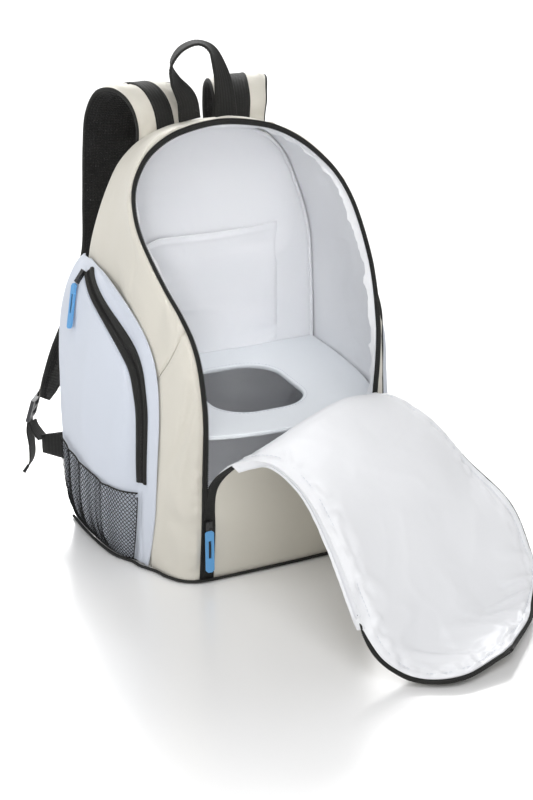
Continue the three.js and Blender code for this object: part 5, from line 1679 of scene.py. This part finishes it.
@dataclass(frozen=True)
class ShoulderStrap:
    """A padded shoulder strap with the webbing sewn down its middle."""

    side: Side
    back_y: float = 107.5
    strap_x: float = 70
    stand_off: float = 73
    crest: float = 456
    width: float = 68
    thickness: float = 9
    edge: float = 4
    webbing: float = 20
    out: tuple = (.614, .614, .65, .714, .8, .9, .971, 1.014, 1.086, 1.21, 1.62, 2.12, 2.53)
    aft: tuple = (.01, -.03, .02, .212, .473, .788, .993, 1.048, 1.02, .94, .8, .66, .53)
    up: tuple = (.877, .932, .968, .995, 1.002, .982, .932, .855, .724, .592, .478, .375, .27)
    broad: tuple = (.85, .85, .86, .88, .94, .98, 1, 1, 1, 1, .94, .8, .5)
    turn: tuple = (0, 0, 0, 0, 0, 0, 0, 0, -4, -12, -24, -36, -44)
    rows: int = 150
    columns: int = 22
    frames: int = 14
    pressure: float = 3.2
    give: float = 2.6

    def path(self) -> Curve:
        """The line down the middle of the strap, from its root."""
        return Curve(np.stack([-np.array(self.out) * self.strap_x,
                               self.back_y + np.array(self.aft) * self.stand_off,
                               np.array(self.up) * self.crest], -1))

    def frame_at(self, u: Array) -> tuple[Array, Array, Array, Array]:
        """Middle, across and up directions and width share of the strap at shares u."""
        path = self.path()
        rows = tuple(range(len(self.out)))
        place = path.place(u)
        turn = np.radians(column(rows, self.turn, place))
        at, way = path.at(u), path.tangent(u)
        side = np.stack([np.cos(turn), -np.sin(turn), 0 * turn], -1)
        side = square_to(side, way)
        tip = np.clip((u - 0.955) / 0.046, 0, 1)
        broad = column(rows, self.broad, place) * np.sqrt(1 - 0.8 * tip ** 2)
        return at, side, unit(np.cross(side, way)), broad

    def build(self) -> None:
        """Makes the pad, its binding, the webbing and the stitches."""
        u = np.linspace(0, 1, self.rows)
        at, side, up, broad = self.frame_at(u)
        x = np.linspace(-1, 1, self.columns)
        h = mix(self.edge / 2, self.thickness / 2, smooth((1 - np.abs(x)) * 3.2))
        section = np.vstack([np.stack([x, h], -1), np.stack([x[::-1], -h], -1)])
        scale = np.stack([broad * self.width / 2, 1 + 0 * broad], -1)
        parts = tube(at, section, side, up, True, scale)
        around = len(section)
        top = np.arange((self.rows - 1) * around) % around < self.columns - 1
        pick = np.concatenate([np.where(top, 0, 1), [1, 1]])
        piece = make_mesh(f"strap_pad_{self.side.word}", *self.side.turned(parts),
                          [CREAM_NYLON, SPACER_KNIT], pick, 75)
        self.inflate(piece, around)
        dress(piece, "cream_nylon", f"shoulder_strap_{self.side.word}")
        self.build_binding(at, side, up, broad)
        self.build_webbing()

    def inflate(self, piece: bpy.types.Object, around: int) -> None:
        """Blows the foam pad up a little with a cloth simulation, held along its seams.

        Args:
            piece: the pad.
            around: points in one section of it.
        """
        mesh = piece.data
        before = read_points(mesh)
        count = len(before)
        group = piece.vertex_groups.new(name="seams")
        k = np.arange(count) % around
        x = np.where(k < self.columns, k, 2 * self.columns - 1 - k) / (self.columns - 1)
        held = (x < 0.07) | (x > 0.93) | (np.abs(x - 0.5) < 0.16)
        row = np.arange(count) // around
        held |= (row < 3) | (row > self.rows - 4)
        group.add(np.nonzero(held)[0].tolist(), 1.0, "REPLACE")
        cloth = piece.modifiers.new("foam", "CLOTH")
        cloth.settings.quality = 4
        cloth.settings.mass = 0.2
        cloth.settings.tension_stiffness = 12
        cloth.settings.compression_stiffness = 8
        cloth.settings.bending_stiffness = 0.4
        cloth.settings.use_pressure = True
        cloth.settings.uniform_pressure_force = self.pressure
        cloth.settings.shrink_min = -0.03
        cloth.settings.vertex_group_mass = "seams"
        cloth.settings.effector_weights.gravity = 0.0
        cloth.collision_settings.use_collision = False
        cloth.point_cache.frame_start, cloth.point_cache.frame_end = 1, self.frames
        scene = bpy.context.scene
        for step in range(1, self.frames + 1):
            scene.frame_set(step)
        shape = piece.evaluated_get(bpy.context.evaluated_depsgraph_get())
        after = read_points(shape.data)
        piece.modifiers.remove(cloth)
        scene.frame_set(1)
        move = after - before
        reach = np.linalg.norm(move, axis=-1, keepdims=True)
        cap = self.give * MM
        move *= np.where(reach > cap, cap / np.maximum(reach, 1e-9), 1.0)
        mesh.vertices.foreach_set("co", (before + move).ravel())
        mesh.update()

    def build_binding(self, at: Array, side: Array, up: Array, broad: Array) -> None:
        """Binds both long edges with black tape.

        Args:
            at: the middle of each section.
            side: its direction across.
            up: its outward direction.
            broad: its width share.
        """
        parts = []
        for sign in (-1, 1):
            edge = at + side * spread(sign * broad * self.width / 2)
            parts.append(tube(edge, band_section(3.8, 4.8, 4), side, up))
        self.side.lay("strap_binding", join_parts(parts), ZIP_TAPE, "black_tape")

    def build_webbing(self) -> None:
        """Lays the webbing down the middle of the strap and sews both its edges."""
        u = np.linspace(0.004, 1.0, 190)
        at, side, up, _ = self.frame_at(u)
        lift = self.thickness / 2 + 1.05 + 0.25 * grain(at, 16, 71)
        line = at + up * spread(lift)
        band = tube(line, band_section(self.webbing, 1.5), side, up)
        self.side.lay("strap_band", band, BLACK_WEBBING, "black_webbing", "strap_webbing")
        for sign, word in ((-1, "outer"), (1, "inner")):
            row = line + side * sign * (self.webbing / 2 - 2.2) + up * 0.75
            self.side.sew(f"strap_stitches_{word}", row, up, BLACK_THREAD, "black_webbing", 3.4, 0.6)


@dataclass(frozen=True)
class LowerHardware:
    """The ladder buckle, the webbing through it, its loose tail and the sewn tab."""

    side: Side
    width: float = 22
    thickness: float = 1.5
    across: tuple[float, float, float] = (0.55, 0.83, 0.0)
    anchor: tuple = ((-191.3, 150.9, 97.6), (-189.9, 147.8, 90.6), (-187.2, 142.0, 84.4),
                     (-184.0, 136.4, 79.4))
    tail: tuple = ((-193.4, 152.4, 98.2), (-194.5, 153.0, 88.0), (-193.0, 153.0, 68.0),
                   (-195.0, 151.0, 51.0), (-206.0, 147.0, 38.0))
    hem: float = 9

    def build(self) -> None:
        """Makes the webbing pieces and dresses the buckle."""
        word = self.side.word
        self.band(self.anchor, "anchor_band", "lower_webbing", 24)
        self.band(self.tail, "tail_band", "webbing_tail", 70, self.hem)
        puffed(f"anchor_tab_cloth_{word}", f"anchor_tab_{word}", BLACK_WEBBING, "black_webbing")
        finish_solid(f"ladder_buckle_{word}", GREY_ACETAL, 0.9)

    def band(self, rows: tuple, name: str, node: str, steps: int, hem: float = 0.0) -> None:
        """Makes one length of webbing.

        Args:
            rows: the points that it passes through.
            name: the piece's name, without its side.
            node: the solid that it stands for, without its side.
            steps: sections along it.
            hem: length of the folded hem at its end, if it has one.
        """
        path = Curve(np.array(rows))
        u = np.linspace(0, 1, steps)
        at, way = path.at(u), path.tangent(u)
        side = np.tile(unit(np.array(self.across)), (steps, 1))
        side = square_to(side, way)
        left = (1 - u) * path.length
        thick = np.where(left < hem, 2.2, 1.0) if hem else np.ones(steps)
        size = np.stack([np.ones(steps), thick], -1)
        parts = tube(at, band_section(self.width, self.thickness), side, unit(np.cross(side, way)), True, size)
        self.side.lay(name, parts, BLACK_WEBBING, "black_webbing", node)


def finish_solid(node: str, finish: Finish, bevel: float) -> bpy.types.Object:
    """Gives a hard solid its material and eases its edges.

    Args:
        node: the solid.
        finish: what it is moulded from.
        bevel: how far its edges are eased, in millimetres.

    Returns:
        The solid's object.
    """
    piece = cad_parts[node]
    if piece.material_slots:
        for slot in piece.material_slots:
            slot.material = finish.material()
    else:
        piece.data.materials.append(finish.material())
    ease = piece.modifiers.new("eased_edges", "BEVEL")
    ease.width, ease.segments, ease.limit_method = bevel * MM, 3, "ANGLE"
    ease.angle_limit = math.radians(40)
    ease.harden_normals = False
    log.info("%s: solid kept, %s", node, finish.name)
    return piece


@dataclass(frozen=True)
class GrabHandle:
    """The loop of webbing at the top, folded along its middle where it is held."""

    width: float = 25
    thickness: float = 2.0
    spread_x: float = 46
    across: tuple = (-.4, -.46, -.74, -.82, -.6, -.2, .14, .36, .46, .5)
    up: tuple = (.9935, 1.04, 1.09, 1.125, 1.16, 1.174, 1.156, 1.105, 1.05, .9935)
    turn: tuple = (0, 10, 45, 68, 76, 72, 52, 30, 10, 0)
    aft: float = 0.865

    def build(self, form: BagForm) -> None:
        """Makes the loop and its stitches."""
        rows = tuple(range(len(self.across)))
        points = np.stack([np.array(self.across) * self.spread_x,
                           np.full(len(rows), self.aft * form.depth / 2),
                           np.array(self.up) * form.height], -1)
        path = Curve(points)
        u = np.linspace(0, 1, 150)
        turn = np.radians(column(rows, self.turn, path.place(u)))
        at, way = path.at(u), path.tangent(u)
        side = np.stack([np.cos(turn), np.sin(turn), 0 * turn], -1)
        side = square_to(side, way)
        up = unit(np.cross(side, way))
        size = np.stack([1 - 0.06 * np.sin(np.pi * u), 1 + 0.25 * np.sin(np.pi * u)], -1)
        parts = tube(at, band_section(self.width, self.thickness), side, up, True, size)
        lay("grab_loop", parts, BLACK_WEBBING, "black_webbing", "grab_handle")
        for sign, word in ((-1, "outer"), (1, "inner")):
            for face, where in ((1, "over"), (-1, "under")):
                row = at + side * sign * (self.width / 2 - 3) + up * face * (self.thickness * 0.62)
                stitches(f"grab_stitches_{word}_{where}", row, up * face, BLACK_THREAD, "black_webbing",
                         3.4, 0.6)


@dataclass(frozen=True)
class PullTag:
    """A soft blue pull with its black inlay, and the slider that it hangs from."""

    slider: str
    pull: str
    slot_length: float = 20
    slot_width: float = 3
    slot_drop: float = 0.24
    thickness: float = 2.0

    def build(self) -> None:
        """Dresses the two solids and fills the slot with the inlay."""
        finish_solid(self.slider, BLACK_ENAMEL, 0.8)
        tag = finish_solid(self.pull, BLUE_PVC, 0.5)
        points = read_points(tag.data) / MM
        centre = points.mean(0)
        _, _, axes = np.linalg.svd(points - centre)
        long, wide, thin = axes
        long = long if long[2] < 0 else -long
        span = (points - centre) @ long
        middle = (span.min() + span.max()) / 2
        x = (points - centre) @ wide
        z = (points - centre) @ thin
        base = centre + long * middle + wide * (x.min() + x.max()) / 2 + thin * (z.min() + z.max()) / 2
        total = span.max() - span.min()
        at = base + long * (total * self.slot_drop + self.slot_length / 2 - total / 2)
        bar = pill(self.slot_length - 0.6, self.slot_width - 0.5, self.thickness * 0.7)
        parts = many(bar, at[None], long[None], wide[None], np.cross(long, wide)[None])
        lay(f"{self.pull}_inlay", parts, BLACK_PVC, "blue_rubber")


def main() -> None:
    """Builds the sub-assemblies in turn; each piece logs its face count as it is dressed."""
    logging.basicConfig(level=logging.INFO, format="%(name)s: %(message)s")
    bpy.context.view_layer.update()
    form = BagForm()
    studio = Studio()
    studio.build_camera()
    studio.build()
    Shell(form).build()
    MouthZip(form).build()
    Interior(form).build()
    Flap(form).build()
    for side in Side:
        SidePocket(form, side).build()
        ShoulderStrap(side).build()
        LowerHardware(side).build()
        PullTag(f"side_pocket_slider_{side.word}", f"side_pocket_pull_{side.word}").build()
    GrabHandle().build(form)
    PullTag("zip_slider", "zip_pull").build()


if __name__ == "__main__":
    main()
